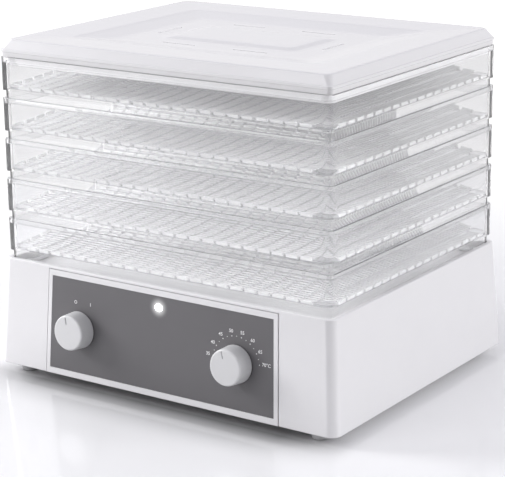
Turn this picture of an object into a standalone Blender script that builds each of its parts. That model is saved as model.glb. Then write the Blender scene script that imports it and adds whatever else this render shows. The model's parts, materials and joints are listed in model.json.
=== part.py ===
"""Five-tray food dehydrator: a heated fan base, five stacking trays and a vented lid.

Lengths are in millimetres here and become metres when a mesh is made. +Z is up, +X is to the
right seen from the front, and the control panel faces -Y. The origin is at the middle of the
whole machine's footprint, on the surface that it stands on.
"""

from math import atan2, cos, pi, radians, sin

import bmesh
import bpy
from mathutils import Matrix, Vector

MM = 0.001
GAP = 0.3

# Driving dimensions
TRAY_X = 165.0
TRAY_Y = 132.0
TRAY_COUNT = 5
PITCH = 35.0
FOOT_HEIGHT = 7.5
CASE_HEIGHT = 94.3
LID_RISE = 14.7
FLARE_BOTTOM = 8.9
FLARE_TOP = 2.5
WALL = 2.5
CENTRE_Y = 1.3

CASE_BOTTOM = FOOT_HEIGHT
CASE_TOP = CASE_BOTTOM + CASE_HEIGHT
STACK_TOP = CASE_TOP + TRAY_COUNT * PITCH
CORNER_STEPS = 3

# Trays: insets are measured inwards from the tray's outer face, depths down from its rim
RIM_INSET = 1.8
RIM_DEPTH = 4.9
BODY_INSET = 3.0
NECK_OUTER = 2.3
NECK_INNER = 4.3
NECK_DEPTH = PITCH + 4.6
SHELF_DEPTH = 27.0
SKIRT_DEPTH = 28.5
MESH_THICKNESS = 2.2

# Control panel, measured on the sloping front face
PANEL_TOP_HALF = 117.0
PANEL_BOTTOM_HALF = 120.0
PANEL_HEIGHT = 91.7
SEAM = 0.6
PANEL_THICKNESS = 2.4
FASCIA_TOP_HALF = 112.9
FASCIA_BOTTOM_HALF = 115.6
FASCIA_LOW = 5.6
FASCIA_HIGH = 86.5
FASCIA_THICKNESS = 0.7
FASCIA_POCKET = 1.1
KNOB_HEIGHT = 43.8
POWER_X = -83.5
THERMOSTAT_X = 78.3
LAMP_HEIGHT = 77.0
POWER_POINTER = -12.0
THERMOSTAT_POINTER = -17.0
SPINDLE_RADIUS = 3.0
SPINDLE_HOLE = 5.0
KNOB_FACE = 15.5
SWITCH_SIZE = (13.0, 13.0, 15.0)
STAT_SIZE = (17.0, 15.0, 17.0)

# Air path
DECK_INSET = 3.5
DECK_TOP = CASE_TOP - RIM_DEPTH - WALL - GAP
DUCT_HOLE = 72.0
DUCT_RADIUS = 60.0
GRILLE_RADIUS = 82.0
POST_X = 122.0
POST_Y = 110.0
MOUNT_X = 90.0
MOUNT_TOP = 54.0
MOUNT_THICKNESS = 2.0
FAN_LOW = 58.0
FAN_HIGH = 72.0
FUSE_HEIGHT = 74.0
FUSE_HALF = 9.0

# Cord inlet, in the rear wall
CORD_X = 112.0
CORD_HEIGHT = 30.0
CORD_HOLE = 7.0

PANEL_TILT = atan2(FLARE_BOTTOM - FLARE_TOP, CASE_HEIGHT)


# ---------------------------------------------------------------- scene and materials

def clear_scene():
    for thing in list(bpy.data.objects):
        bpy.data.objects.remove(thing, do_unlink=True)


def material(name, colour, roughness, metallic=0.0, alpha=1.0):
    finish = bpy.data.materials.new(name)
    finish.use_nodes = True
    shader = finish.node_tree.nodes["Principled BSDF"]
    shader.inputs["Base Color"].default_value = (*colour, 1.0)
    shader.inputs["Roughness"].default_value = roughness
    shader.inputs["Metallic"].default_value = metallic
    shader.inputs["Alpha"].default_value = alpha
    finish.diffuse_color = (*colour, alpha)
    return finish


# ---------------------------------------------------------------- mesh helpers

def add_object(name, mesh, finish=None, at=(0.0, 0.0, 0.0), parent=None):
    """Link a mesh as an object placed at a point in millimetres."""
    thing = bpy.data.objects.new(name, mesh)
    thing.location = Vector(at) * MM
    thing.parent = parent
    if finish is not None:
        mesh.materials.append(finish)
    bpy.context.scene.collection.objects.link(thing)
    return thing


def finish_mesh(name, shape, smooth=True):
    """Turn a bmesh drawn in millimetres into a mesh in metres, faces outwards."""
    bmesh.ops.scale(shape, vec=(MM, MM, MM), verts=shape.verts)
    bmesh.ops.recalc_face_normals(shape, faces=shape.faces)
    mesh = bpy.data.meshes.new(name)
    shape.to_mesh(mesh)
    shape.free()
    if smooth:
        mesh.shade_smooth()
        mesh.set_sharp_from_angle(angle=radians(30))
    return mesh


def loft(shape, loops, ring=False):
    """Skin loops of equal length; close it into a ring, or cap both ends."""
    rows = [[shape.verts.new(point) for point in loop] for loop in loops]
    pairs = list(zip(rows, rows[1:]))
    if ring:
        pairs.append((rows[-1], rows[0]))
    for low, high in pairs:
        for i in range(len(low)):
            j = (i + 1) % len(low)
            shape.faces.new((low[i], low[j], high[j], high[i]))
    if not ring:
        shape.faces.new(list(reversed(rows[0])))
        shape.faces.new(rows[-1])


def rounded_loop(half_x, half_y, radius, z, steps=CORNER_STEPS):
    """A rectangle with rounded corners, anticlockwise seen from above."""
    points = []
    for corner, (side_x, side_y) in enumerate(((1, 1), (-1, 1), (-1, -1), (1, -1))):
        for step in range(steps + 1):
            angle = (corner + step / steps) * pi / 2
            points.append(Vector((side_x * (half_x - radius) + radius * cos(angle),
                                  side_y * (half_y - radius) + radius * sin(angle), z)))
    return points


def inset_loop(inset, radius, z, steps=CORNER_STEPS):
    """A rounded rectangle inset from the tray's outer face."""
    return rounded_loop(TRAY_X - inset, TRAY_Y - inset, radius, z, steps)


def round_loop(radius, z, count):
    return [Vector((radius * cos(2 * pi * (i + 0.5) / count),
                    radius * sin(2 * pi * (i + 0.5) / count), z)) for i in range(count)]


def turned(shape, profile, count=32, centre=(0.0, 0.0)):
    """Revolve (radius, z) points about a vertical line; radius 0 closes an end to a point."""
    rows = []
    for radius, z in profile:
        if radius == 0:
            rows.append([shape.verts.new((centre[0], centre[1], z))])
        else:
            rows.append([shape.verts.new((centre[0] + radius * cos(2 * pi * i / count),
                                          centre[1] + radius * sin(2 * pi * i / count), z))
                         for i in range(count)])
    closed = profile[0][0] != 0
    for low, high in zip(rows, rows[1:] + (rows[:1] if closed else [])):
        for i in range(count):
            j = (i + 1) % count
            corners = [low[i % len(low)], low[j % len(low)], high[j % len(high)], high[i % len(high)]]
            shape.faces.new(list(dict.fromkeys(corners)))


def box(shape, low, high):
    """An upright box between two corners."""
    made = bmesh.ops.create_cube(shape, size=1.0)["verts"]
    bmesh.ops.scale(shape, vec=Vector(high) - Vector(low), verts=made)
    bmesh.ops.translate(shape, vec=(Vector(high) + Vector(low)) / 2, verts=made)


def slab(shape, outline, low, high):
    """Extrude an (x, z) outline along Y from low to high."""
    near = [shape.verts.new((x, low, z)) for x, z in outline]
    far = [shape.verts.new((x, high, z)) for x, z in outline]
    for i in range(len(outline)):
        j = (i + 1) % len(outline)
        shape.faces.new((near[i], near[j], far[j], far[i]))
    shape.faces.new(list(reversed(near)))
    shape.faces.new(far)


def tube(shape, path, radius, sides):
    """A round bar along a level path of points."""
    rows = []
    for i, point in enumerate(path):
        along = (path[min(i + 1, len(path) - 1)] - path[max(i - 1, 0)]).normalized()
        side = along.cross(Vector((0, 0, 1))).normalized()
        up = side.cross(along)
        rows.append([point + radius * (cos(2 * pi * k / sides) * side + sin(2 * pi * k / sides) * up)
                     for k in range(sides)])
    loft(shape, rows)


def boolean(target, tools, operation="DIFFERENCE"):
    """Cut or join helper objects, which stay in the file as wire guides."""
    for tool in tools:
        step = target.modifiers.new(f"{operation.lower()}_{tool.name}", "BOOLEAN")
        step.operation = operation
        step.solver = "EXACT"
        step.object = tool
        tool.hide_render = True
        tool.display_type = "WIRE"


def guide(name, draw, parent=None, at=(0.0, 0.0, 0.0)):
    """A helper solid for a Boolean; draw fills its bmesh."""
    shape = bmesh.new()
    draw(shape)
    return add_object(name, finish_mesh(name, shape, smooth=False), at=at, parent=parent)


def part(name, finish, draw, at=(0.0, 0.0, 0.0), parent=None, smooth=True):
    """A finished sub-part; draw fills its bmesh around its own origin."""
    shape = bmesh.new()
    draw(shape)
    return add_object(name, finish_mesh(name, shape, smooth), finish, at, parent)


def turned_part(name, finish, profile, at=(0.0, 0.0, 0.0), parent=None, count=32):
    return part(name, finish, lambda shape: turned(shape, profile, count), at, parent)


def box_part(name, finish, low, high, bevel=0.0, at=(0.0, 0.0, 0.0), parent=None):
    """A box with softened edges."""
    def draw(shape):
        box(shape, low, high)
        if bevel:
            bmesh.ops.bevel(shape, geom=shape.edges[:], offset=bevel, segments=1, affect="EDGES")
    return part(name, finish, draw, at, parent, smooth=False)


# ---------------------------------------------------------------- base casing

def case_offset(z):
    """How far the casing's outer face stands outside the tray's at a height."""
    return FLARE_BOTTOM - (FLARE_BOTTOM - FLARE_TOP) * (z - CASE_BOTTOM) / CASE_HEIGHT


def make_housing(finish, root, panel):
    """Flared wall whose top turns in to carry the tray seat; open underneath."""
    ledge = CASE_TOP - RIM_DEPTH
    seat = 8.0
    shoulder = ledge - WALL
    edge = 1.0

    def draw(shape):
        loft(shape, [
            inset_loop(-case_offset(CASE_BOTTOM), 8, CASE_BOTTOM),
            inset_loop(-case_offset(CASE_TOP - edge), 7, CASE_TOP - edge),
            inset_loop(-case_offset(CASE_TOP) + edge, 6, CASE_TOP),
            inset_loop(RIM_INSET, 2.4, CASE_TOP),
            inset_loop(RIM_INSET, 2.4, ledge),
            inset_loop(seat, 4, ledge),
            inset_loop(seat, 4, shoulder),
            inset_loop(WALL - case_offset(shoulder), 5, shoulder),
            inset_loop(WALL - case_offset(CASE_BOTTOM), 6, CASE_BOTTOM),
        ], ring=True)

    housing = part("base_housing", finish, draw, at=(0, CENTRE_Y, 0), parent=root)

    def draw_opening(shape):
        low, high = -8.0, PANEL_HEIGHT + SEAM
        slope = (PANEL_BOTTOM_HALF - PANEL_TOP_HALF) / PANEL_HEIGHT
        half = [PANEL_BOTTOM_HALF + SEAM - slope * z for z in (low, high)]
        slab(shape, [(-half[0], low), (half[0], low), (half[1], high), (-half[1], high)], -6.0, WALL + 0.35)

    def draw_cord_hole(shape):
        turned(shape, [(0, -20), (CORD_HOLE, -20), (CORD_HOLE, 20), (0, 20)], 24)

    opening = guide("panel_opening", draw_opening, parent=panel)
    cord_hole = guide("cord_hole", draw_cord_hole, root, cord_exit())
    cord_hole.rotation_euler = (PANEL_TILT - pi / 2, 0, 0)
    boolean(housing, [opening, cord_hole])


def make_deck(finish, root):
    """Plate under the tray seat, open over the duct, with the posts that the screws enter."""
    low = DECK_TOP - WALL

    def draw(shape):
        count = 4 * (CORNER_STEPS + 1)
        loft(shape, [
            inset_loop(DECK_INSET, 4, low),
            inset_loop(DECK_INSET, 4, DECK_TOP),
            round_loop(DUCT_HOLE, DECK_TOP, count),
            round_loop(DUCT_HOLE, low, count),
        ], ring=True)

    def draw_posts(shape):
        for x in (-POST_X, POST_X):
            for y in (-POST_Y, POST_Y):
                turned(shape, [(0, CASE_BOTTOM + 3.2), (4.5, CASE_BOTTOM + 3.2), (4.5, DECK_TOP - 1),
                               (0, DECK_TOP - 1)], 12, (x, y))
        for x in (-MOUNT_X, MOUNT_X):
            turned(shape, [(0, MOUNT_TOP), (4.0, MOUNT_TOP), (4.0, DECK_TOP - 1), (0, DECK_TOP - 1)],
                   12, (x, 0))

    def draw_pilots(shape):
        for x in (-POST_X, POST_X):
            for y in (-POST_Y, POST_Y):
                turned(shape, [(0, CASE_BOTTOM), (2.0, CASE_BOTTOM), (2.0, 24), (0, 24)], 12, (x, y))
        for x in (-MOUNT_X, MOUNT_X):
            turned(shape, [(0, MOUNT_TOP - 2), (1.8, MOUNT_TOP - 2), (1.8, 68), (0, 68)], 12, (x, 0))

    deck = part("base_deck", finish, draw, (0, CENTRE_Y, 0), root, smooth=False)
    boolean(deck, [guide("screw_posts", draw_posts, root, (0, CENTRE_Y, 0))], "UNION")
    boolean(deck, [guide("post_pilots", draw_pilots, root, (0, CENTRE_Y, 0))])


def cord_exit():
    """Where the cord would leave the rear wall's outer face."""
    return Vector((CORD_X, CENTRE_Y + TRAY_Y + case_offset(CORD_HEIGHT), CORD_HEIGHT))


def make_bottom_cover(finish, root):
    """Flat cover with air slots under the fan and sunk screw holes."""
    thickness = 2.5
    clearance = 0.6
    inset = WALL + clearance - FLARE_BOTTOM
    slot_half = 54.0
    slot_width = 4.0
    slot_pitch = 12.0
    slot_count = 9

    def draw(shape):
        loft(shape, [inset_loop(inset, 5.4, CASE_BOTTOM), inset_loop(inset, 5.4, CASE_BOTTOM + thickness)])

    def draw_slots(shape):
        for i in range(slot_count):
            y = (i - (slot_count - 1) / 2) * slot_pitch
            box(shape, (-slot_half, y - slot_width / 2, 0), (slot_half, y + slot_width / 2, 20))

    def draw_holes(shape):
        for x in (-POST_X, POST_X):
            for y in (-POST_Y, POST_Y):
                turned(shape, [(0, 0), (4.2, 0), (4.2, CASE_BOTTOM + 1.6), (2.1, CASE_BOTTOM + 1.6),
                               (2.1, 20), (0, 20)], 16, (x, y))

    cover = part("bottom_cover", finish, draw, (0, CENTRE_Y, 0), root, smooth=False)
    slots = guide("cover_slots", draw_slots, root, (0, CENTRE_Y, 0))
    holes = guide("cover_holes", draw_holes, root, (0, CENTRE_Y, 0))
    boolean(cover, [slots, holes])

    head = [(0, 0.2), (3.5, 0.2), (3.5, 1.3), (1.7, 1.3), (1.7, 12.0), (0, 12.0)]
    corners = (("front_left", -1, -1), ("front_right", 1, -1), ("rear_left", -1, 1), ("rear_right", 1, 1))
    for place, side_x, side_y in corners:
        turned_part(f"cover_screw_{place}", FINISH["steel"], head,
                    (side_x * POST_X, CENTRE_Y + side_y * POST_Y, CASE_BOTTOM), root, 12)


def make_feet(finish, root):
    foot_x, foot_y = 151.0, 126.5
    top = FOOT_HEIGHT - GAP
    profile = [(0, 0), (6.2, 0), (6.8, 0.6), (7.5, top), (0, top)]
    corners = (("front_left", -1, -1), ("front_right", 1, -1), ("rear_left", -1, 1), ("rear_right", 1, 1))
    for place, side_x, side_y in corners:
        turned_part(f"foot_{place}", finish, profile,
                    (side_x * foot_x, CENTRE_Y + side_y * foot_y, 0), root, 20)


def make_cord_inlet(finish, root):
    """Flanged bush in the rear wall that the mains lead would pass through."""
    sleeve = CORD_HOLE - GAP
    profile = [(4.2, -6.0), (sleeve, -6.0), (sleeve, GAP), (9.0, GAP), (9.0, 2.2), (7.6, 3.0),
               (6.4, 12.0), (4.2, 12.0)]
    inlet = turned_part("cord_inlet", finish, profile, cord_exit(), root, 16)
    inlet.rotation_euler = (PANEL_TILT - pi / 2, 0, 0)


# ---------------------------------------------------------------- control panel

def trapezoid(bottom_half, top_half, low, high):
    return [(-bottom_half, low), (bottom_half, low), (top_half, high), (-top_half, high)]


def panel_turned(name, finish, profile, x, z, panel, count=24):
    """Turned piece whose axis comes straight out of the panel; profile is (radius, outward)."""
    thing = turned_part(name, finish, profile, (x, 0, z), panel, count)
    thing.rotation_euler = (pi / 2, 0, 0)
    return thing


def make_panel(panel):
    """White surround, grey fascia and lamp, drawn in the panel's own tilted frame."""
    def draw_bezel(shape):
        slab(shape, trapezoid(PANEL_BOTTOM_HALF, PANEL_TOP_HALF, 0.0, PANEL_HEIGHT), 0, PANEL_THICKNESS)

    def draw_pocket(shape):
        slab(shape, trapezoid(FASCIA_BOTTOM_HALF + GAP, FASCIA_TOP_HALF + GAP, FASCIA_LOW - GAP,
                              FASCIA_HIGH + GAP), -2, FASCIA_POCKET)

    def draw_fascia(shape):
        slab(shape, trapezoid(FASCIA_BOTTOM_HALF, FASCIA_TOP_HALF, FASCIA_LOW, FASCIA_HIGH),
             0.1, 0.1 + FASCIA_THICKNESS)

    def draw_holes(shape):
        for x, z, radius in ((POWER_X, KNOB_HEIGHT, SPINDLE_HOLE), (THERMOSTAT_X, KNOB_HEIGHT, SPINDLE_HOLE),
                             (0, LAMP_HEIGHT, 4.0)):
            made = bmesh.new()
            turned(made, [(0, -8), (radius, -8), (radius, 8), (0, 8)], 24)
            made.transform(Matrix.Translation((x, 0, z)) @ Matrix.Rotation(pi / 2, 4, "X"))
            mesh = bpy.data.meshes.new("hole")
            made.to_mesh(mesh)
            made.free()
            shape.from_mesh(mesh)
            bpy.data.meshes.remove(mesh)

    bezel = part("control_bezel", FINISH["white"], draw_bezel, parent=panel, smooth=False)
    fascia = part("control_fascia", FINISH["grey"], draw_fascia, parent=panel, smooth=False)
    pocket = guide("fascia_pocket", draw_pocket, panel)
    holes = guide("panel_holes", draw_holes, panel)
    boolean(bezel, [pocket, holes])
    boolean(fascia, [holes])

    lens = [(0, -4.0), (3.6, -4.0), (3.6, -0.4), (3.2, 0.2), (2.0, 0.7), (0, 0.9)]
    panel_turned("indicator_lens", FINISH["lamp"], lens, 0, LAMP_HEIGHT, panel)
    led = [(0, -9.5), (2.5, -9.5), (2.5, -5.6), (1.6, -4.5), (0, -4.3)]
    panel_turned("indicator_led", FINISH["lamp"], led, 0, LAMP_HEIGHT, panel, 16)


def make_control(name, spindle_name, knob_name, x, pointer, body_size, panel):
    """A rotary control behind the panel, its spindle, and the knob in front."""
    half_x, half_z, depth = body_size
    back = -PANEL_THICKNESS - GAP

    def draw_body(shape):
        box(shape, (-half_x, -back, -half_z), (half_x, -back + depth, half_z))

    body = part(name, FINISH["phenolic"], draw_body, (x, 0, KNOB_HEIGHT), panel, smooth=False)
    neck = guide(f"{name}_neck", lambda shape: turned(
        shape, [(0, back - 4), (4.5, back - 4), (4.5, 0.6), (0, 0.6)], 24), panel, (x, 0, KNOB_HEIGHT))
    bore = guide(f"{name}_bore", lambda shape: turned(
        shape, [(0, back - 12), (SPINDLE_RADIUS + GAP, back - 12), (SPINDLE_RADIUS + GAP, 4), (0, 4)], 24),
        panel, (x, 0, KNOB_HEIGHT))
    for tool in (neck, bore):
        tool.rotation_euler = (pi / 2, 0, 0)
    boolean(body, [neck], "UNION")
    boolean(body, [bore])

    axle = bpy.data.objects.new(f"{knob_name}_axis", None)
    axle.location = Vector((x, 0, KNOB_HEIGHT)) * MM
    axle.rotation_euler = (0, radians(pointer), 0)
    axle.parent = panel
    bpy.context.scene.collection.objects.link(axle)

    spindle = [(0, back - 11), (SPINDLE_RADIUS, back - 11), (SPINDLE_RADIUS, 10.6), (0, 10.6)]
    panel_turned(spindle_name, FINISH["steel"], spindle, 0, 0, axle, 20)
    knob = panel_turned(knob_name, FINISH["knob"], knob_profile(), 0, 0, axle, 32)

    def draw_pointer(shape):
        box(shape, (-0.6, -KNOB_FACE - 2, 7.4), (0.6, -KNOB_FACE + 0.6, 13.6))

    boolean(knob, [guide(f"{knob_name}_pointer", draw_pointer, axle)])


def knob_profile():
    """Hollow tapered cap with a hub; (radius, outward), from the hub's floor round to the face."""
    return [(0, 11.2), (SPINDLE_RADIUS + GAP, 11.2), (SPINDLE_RADIUS + GAP, 1.6), (6.0, 1.6), (6.0, 12.4),
            (13.2, 12.4), (14.0, 0.6), (16.0, 0.6), (15.2, 14.2), (14.9, 15.1), (14.2, KNOB_FACE),
            (0, KNOB_FACE)]


# ---------------------------------------------------------------- air path and drive

def make_air_grille(finish, root):
    """Round cover over the duct with rows of slots inside its rim."""
    bottom = DECK_TOP + GAP
    rim_drop = 0.6
    top = bottom + 2.2
    slot_width = 8.0
    slot_pitch = 15.0
    reach = 68.0
    spine = 4.0

    def draw_slots(shape):
        for i in range(-4, 5):
            y = i * slot_pitch
            half = (reach ** 2 - y ** 2) ** 0.5
            for side in (-1, 1):
                near, far = sorted((side * spine, side * half))
                box(shape, (near, y - slot_width / 2, bottom - 5), (far, y + slot_width / 2, top + 5))

    grille = turned_part("air_grille", finish, [(0, bottom), (GRILLE_RADIUS, bottom),
                                                (GRILLE_RADIUS, top - rim_drop),
                                                (GRILLE_RADIUS - 1, top), (0, top)],
                         (0, CENTRE_Y, 0), root, 36)
    boolean(grille, [guide("grille_slots", draw_slots, root, (0, CENTRE_Y, 0))])


def make_heater(root):
    """Sheet-metal duct, its mica cross and the coiled element that rests on it."""
    top = DECK_TOP - WALL - GAP
    flange = top - 1.3
    wall = 1.0
    low = MOUNT_TOP + GAP
    turned_part("heat_shield", FINISH["steel"], [
        (DUCT_RADIUS, low), (DUCT_RADIUS + wall, low), (DUCT_RADIUS + wall, flange), (80, flange),
        (80, top), (DUCT_RADIUS, top)], (0, CENTRE_Y, 0), root, 32)

    arm = DUCT_RADIUS - 2.0
    mica_low, mica_high = 76.0, 80.0

    def draw_cross(shape):
        outline = []
        for quarter in range(4):
            turn = Matrix.Rotation(quarter * pi / 2, 2)
            outline += [turn @ Vector(point) for point in ((arm, -1.2), (arm, 1.2), (1.2, 1.2))]
        low_row = [shape.verts.new((p.x, p.y, mica_low)) for p in outline]
        high_row = [shape.verts.new((p.x, p.y, mica_high)) for p in outline]
        for i in range(len(outline)):
            j = (i + 1) % len(outline)
            shape.faces.new((low_row[i], low_row[j], high_row[j], high_row[i]))
        shape.faces.new(list(reversed(low_row)))
        shape.faces.new(high_row)

    part("heater_frame", FINISH["mica"], draw_cross, (0, CENTRE_Y, 0), root, smooth=False)

    def draw_element(shape):
        steps, turns, inner, outer, radius = 48, 2.4, 24.0, 52.0, 1.8
        path = []
        for i in range(steps + 1):
            share = i / steps
            angle = 2 * pi * turns * share
            reach = inner + (outer - inner) * share
            path.append(Vector((reach * cos(angle), reach * sin(angle), mica_high + GAP + radius)))
        tube(shape, path, radius, 5)

    part("heating_element", FINISH["nichrome"], draw_element, (0, CENTRE_Y, 0), root)

    fuse = [(0, -FUSE_HALF), (1.2, -FUSE_HALF), (1.2, -6), (2.4, -5.6), (2.4, 5.6), (1.2, 6),
            (1.2, FUSE_HALF), (0, FUSE_HALF)]
    clip = turned_part("thermal_fuse", FINISH["steel"], fuse, (-DUCT_RADIUS - 5, CENTRE_Y, FUSE_HEIGHT),
                       root, 12)
    clip.rotation_euler = (pi / 2, 0, 0)


def make_motor(root):
    """Shaded-pole motor hanging under the duct on a cross strip."""
    shelf = MOUNT_TOP - GAP
    strip_low = shelf - MOUNT_THICKNESS

    def draw_strip(shape):
        box(shape, (-MOUNT_X - 7, -9, strip_low), (MOUNT_X + 7, 9, shelf))

    strip = part("motor_mount", FINISH["steel"], draw_strip, (0, CENTRE_Y, 0), root, smooth=False)

    def draw_strip_holes(shape):
        turned(shape, [(0, 40), (7.0, 40), (7.0, 60), (0, 60)], 24)
        for x in (-MOUNT_X, MOUNT_X):
            turned(shape, [(0, 40), (1.9, 40), (1.9, 60), (0, 60)], 12, (x, 0))

    boolean(strip, [guide("strip_holes", draw_strip_holes, root, (0, CENTRE_Y, 0))])

    screw = [(0, strip_low - GAP - 2.0), (2.8, strip_low - GAP - 2.0), (3.2, strip_low - GAP),
             (1.5, strip_low - GAP), (1.5, 66), (0, 66)]
    for place, side in (("left", -1), ("right", 1)):
        turned_part(f"mount_screw_{place}", FINISH["steel"], screw, (side * MOUNT_X, CENTRE_Y, 0), root, 12)

    core_low, core_high = 24.0, 44.0
    half = 27.0
    bar_near, bar_far = 30.0, 40.0

    def draw_core(shape):
        box(shape, (-half, -20, core_low), (half, bar_far, core_high))

    def draw_core_cuts(shape):
        turned(shape, [(0, 10), (13.5, 10), (13.5, 60), (0, 60)], 32)
        box(shape, (-15, 19, 10), (15, bar_near, 60))

    core = part("motor_stator", FINISH["lamination"], draw_core, (0, CENTRE_Y, 0), root, smooth=False)
    boolean(core, [guide("stator_bore", draw_core_cuts, root, (0, CENTRE_Y, 0))])

    def draw_coil(shape):
        near, far, low, high, skin = bar_near, bar_far, core_low, core_high, 7.0
        loops = []
        for x, grow in ((-13.5, skin), (13.5, skin), (13.5, 0.5), (-13.5, 0.5)):
            loops.append([Vector((x, near - grow, low - grow)), Vector((x, far + grow, low - grow)),
                          Vector((x, far + grow, high + grow)), Vector((x, near - grow, high + grow))])
        loft(shape, loops, ring=True)

    part("motor_coil", FINISH["copper"], draw_coil, (0, CENTRE_Y, 0), root, smooth=False)

    for place, face, direction in (("upper", core_high, 1), ("lower", core_low, -1)):
        make_motor_bracket(place, face, direction, root)


def make_motor_bracket(place, face, direction, root):
    """Bearing bridge on one side of the stator, with its bronze bush."""
    foot = face + direction * GAP
    step = direction * 5.0
    plate = direction * 1.6

    def draw(shape):
        outline = [(-25, foot), (-17, foot), (-14, foot + step), (14, foot + step), (17, foot), (25, foot),
                   (25, foot + plate), (17.8, foot + plate), (14.8, foot + step + plate),
                   (-14.8, foot + step + plate), (-17.8, foot + plate), (-25, foot + plate)]
        slab(shape, outline, -7, 7)

    bracket = part(f"motor_bracket_{place}", FINISH["steel"], draw, (0, CENTRE_Y, 0), root, smooth=False)
    hole = guide(f"bracket_hole_{place}", lambda shape: turned(
        shape, [(0, 0), (4.3, 0), (4.3, 80), (0, 80)], 24), root, (0, CENTRE_Y, 0))
    boolean(bracket, [hole])
    middle = foot + step + plate / 2
    bush = [(1.65, middle - 2.2), (4.0, middle - 2.2), (4.0, middle + 2.2), (1.65, middle + 2.2)]
    turned_part(f"bearing_{place}", FINISH["bronze"], bush, (0, CENTRE_Y, 0), root, 24)


def make_fan(axis):
    """Shaft, rotor, bladed impeller and push nut, all about the motor's axis."""
    shaft = [(0, 15.0), (1.5, 15.0), (1.5, FAN_HIGH + 2.6), (0, FAN_HIGH + 2.6)]
    turned_part("motor_shaft", FINISH["steel"], shaft, parent=axis, count=16)
    rotor = [(1.8, 24.5), (12.9, 24.5), (12.9, 43.5), (1.8, 43.5)]
    turned_part("motor_rotor", FINISH["lamination"], rotor, parent=axis, count=24)

    hub_profile = [(1.8, FAN_LOW), (5.0, FAN_LOW), (5.0, FAN_HIGH - 2.4), (20.0, FAN_HIGH - 2.4),
                   (20.0, FAN_LOW), (22.0, FAN_LOW), (22.0, FAN_HIGH - 1.0), (21.0, FAN_HIGH),
                   (1.8, FAN_HIGH)]
    hub = turned_part("fan_impeller", FINISH["fan"], hub_profile, parent=axis, count=28)

    def draw_blades(shape):
        blades, root_r, tip_r, thickness = 7, 21.2, 56.0, 1.4
        for k in range(blades):
            turn = Matrix.Rotation(2 * pi * k / blades, 4, "Z")
            loops = []
            for radius, spread, low, high in ((root_r, 30, FAN_LOW + 1, FAN_HIGH - 2),
                                              (40.0, 24, FAN_LOW + 1, FAN_HIGH - 3),
                                              (tip_r, 21, FAN_LOW + 1, FAN_HIGH - 5)):
                start, end = radians(-spread / 2), radians(spread / 2)
                loops.append([
                    turn @ Vector((radius * cos(start), radius * sin(start), low)),
                    turn @ Vector((radius * cos(end), radius * sin(end), high - thickness)),
                    turn @ Vector((radius * cos(end), radius * sin(end), high)),
                    turn @ Vector((radius * cos(start), radius * sin(start), low + thickness))])
            loft(shape, loops)

    boolean(hub, [guide("fan_blades", draw_blades, axis)], "UNION")
    nut = [(1.8, FAN_HIGH + GAP), (4.0, FAN_HIGH + GAP), (4.0, FAN_HIGH + 1.2), (1.8, FAN_HIGH + 2.0)]
    turned_part("fan_nut", FINISH["steel"], nut, parent=axis, count=12)


def terminal_place():
    """Underside centre of the terminal block, beside the cord inlet."""
    return Vector((CORD_X - 34, cord_exit().y - 36, CASE_BOTTOM + 2.5 + GAP))


def make_terminal_block(finish, root):
    """Where the mains lead would be joined to the inner wiring, beside the cord inlet."""
    at = terminal_place()
    block = box_part("terminal_block", finish, (-16, -8, 0), (16, 8, 13), 1.0, at, root)

    def draw_wells(shape):
        for i in range(3):
            turned(shape, [(0, 6), (2.4, 6), (2.4, 20), (0, 20)], 12, (10 * (i - 1), 0))

    boolean(block, [guide("terminal_wells", draw_wells, root, at)])


def make_tray(number):
    """One tray: a clear frame whose neck plugs into the rim below, and its slotted floor."""
    rim = CASE_TOP + number * PITCH
    origin = bpy.data.objects.new(f"tray_{number}_lift", None)
    origin.location = Vector((0, CENTRE_Y, rim)) * MM
    bpy.context.scene.collection.objects.link(origin)

    def draw_frame(shape):
        loft(shape, [
            inset_loop(NECK_OUTER, 1.6, -NECK_DEPTH),
            inset_loop(NECK_OUTER, 1.6, -SKIRT_DEPTH),
            inset_loop(0.3, 3.2, -SKIRT_DEPTH),
            inset_loop(0.0, 3.5, -SKIRT_DEPTH + 0.4),
            inset_loop(0.0, 3.5, -0.5),
            inset_loop(0.4, 3.1, 0.0),
            inset_loop(RIM_INSET - 0.3, 2.2, 0.0),
            inset_loop(RIM_INSET, 2.0, -0.4),
            inset_loop(RIM_INSET, 2.0, -RIM_DEPTH),
            inset_loop(BODY_INSET, 9.0, -RIM_DEPTH),
            inset_loop(BODY_INSET, 9.0, -SHELF_DEPTH),
            inset_loop(NECK_INNER, 8.0, -SHELF_DEPTH),
            inset_loop(NECK_INNER, 8.0, -NECK_DEPTH),
        ], ring=True)

    def draw_floor(shape):
        inset = BODY_INSET + GAP
        low = -SHELF_DEPTH + GAP
        loft(shape, [inset_loop(inset, 8.7, low), inset_loop(inset, 8.7, low + MESH_THICKNESS)])

    def draw_slots(shape):
        columns, rows = 2, 8
        border, bar_x, bar_y = 8.0, 6.0, 13.0
        span_x = 2 * (TRAY_X - border)
        span_y = 2 * (TRAY_Y - border)
        cell_x = span_x / columns
        cell_y = span_y / rows
        for i in range(columns):
            for j in range(rows):
                x = -span_x / 2 + (i + 0.5) * cell_x
                y = -span_y / 2 + (j + 0.5) * cell_y
                box(shape, (x - (cell_x - bar_x) / 2, y - (cell_y - bar_y) / 2, -SHELF_DEPTH - 5),
                    (x + (cell_x - bar_x) / 2, y + (cell_y - bar_y) / 2, -SHELF_DEPTH + 8))

    part(f"tray_{number}_frame", FINISH["clear"], draw_frame, parent=origin)
    floor = part(f"tray_{number}_floor", FINISH["clear"], draw_floor, parent=origin, smooth=False)
    boolean(floor, [guide(f"tray_{number}_slots", draw_slots, origin)])


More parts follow.
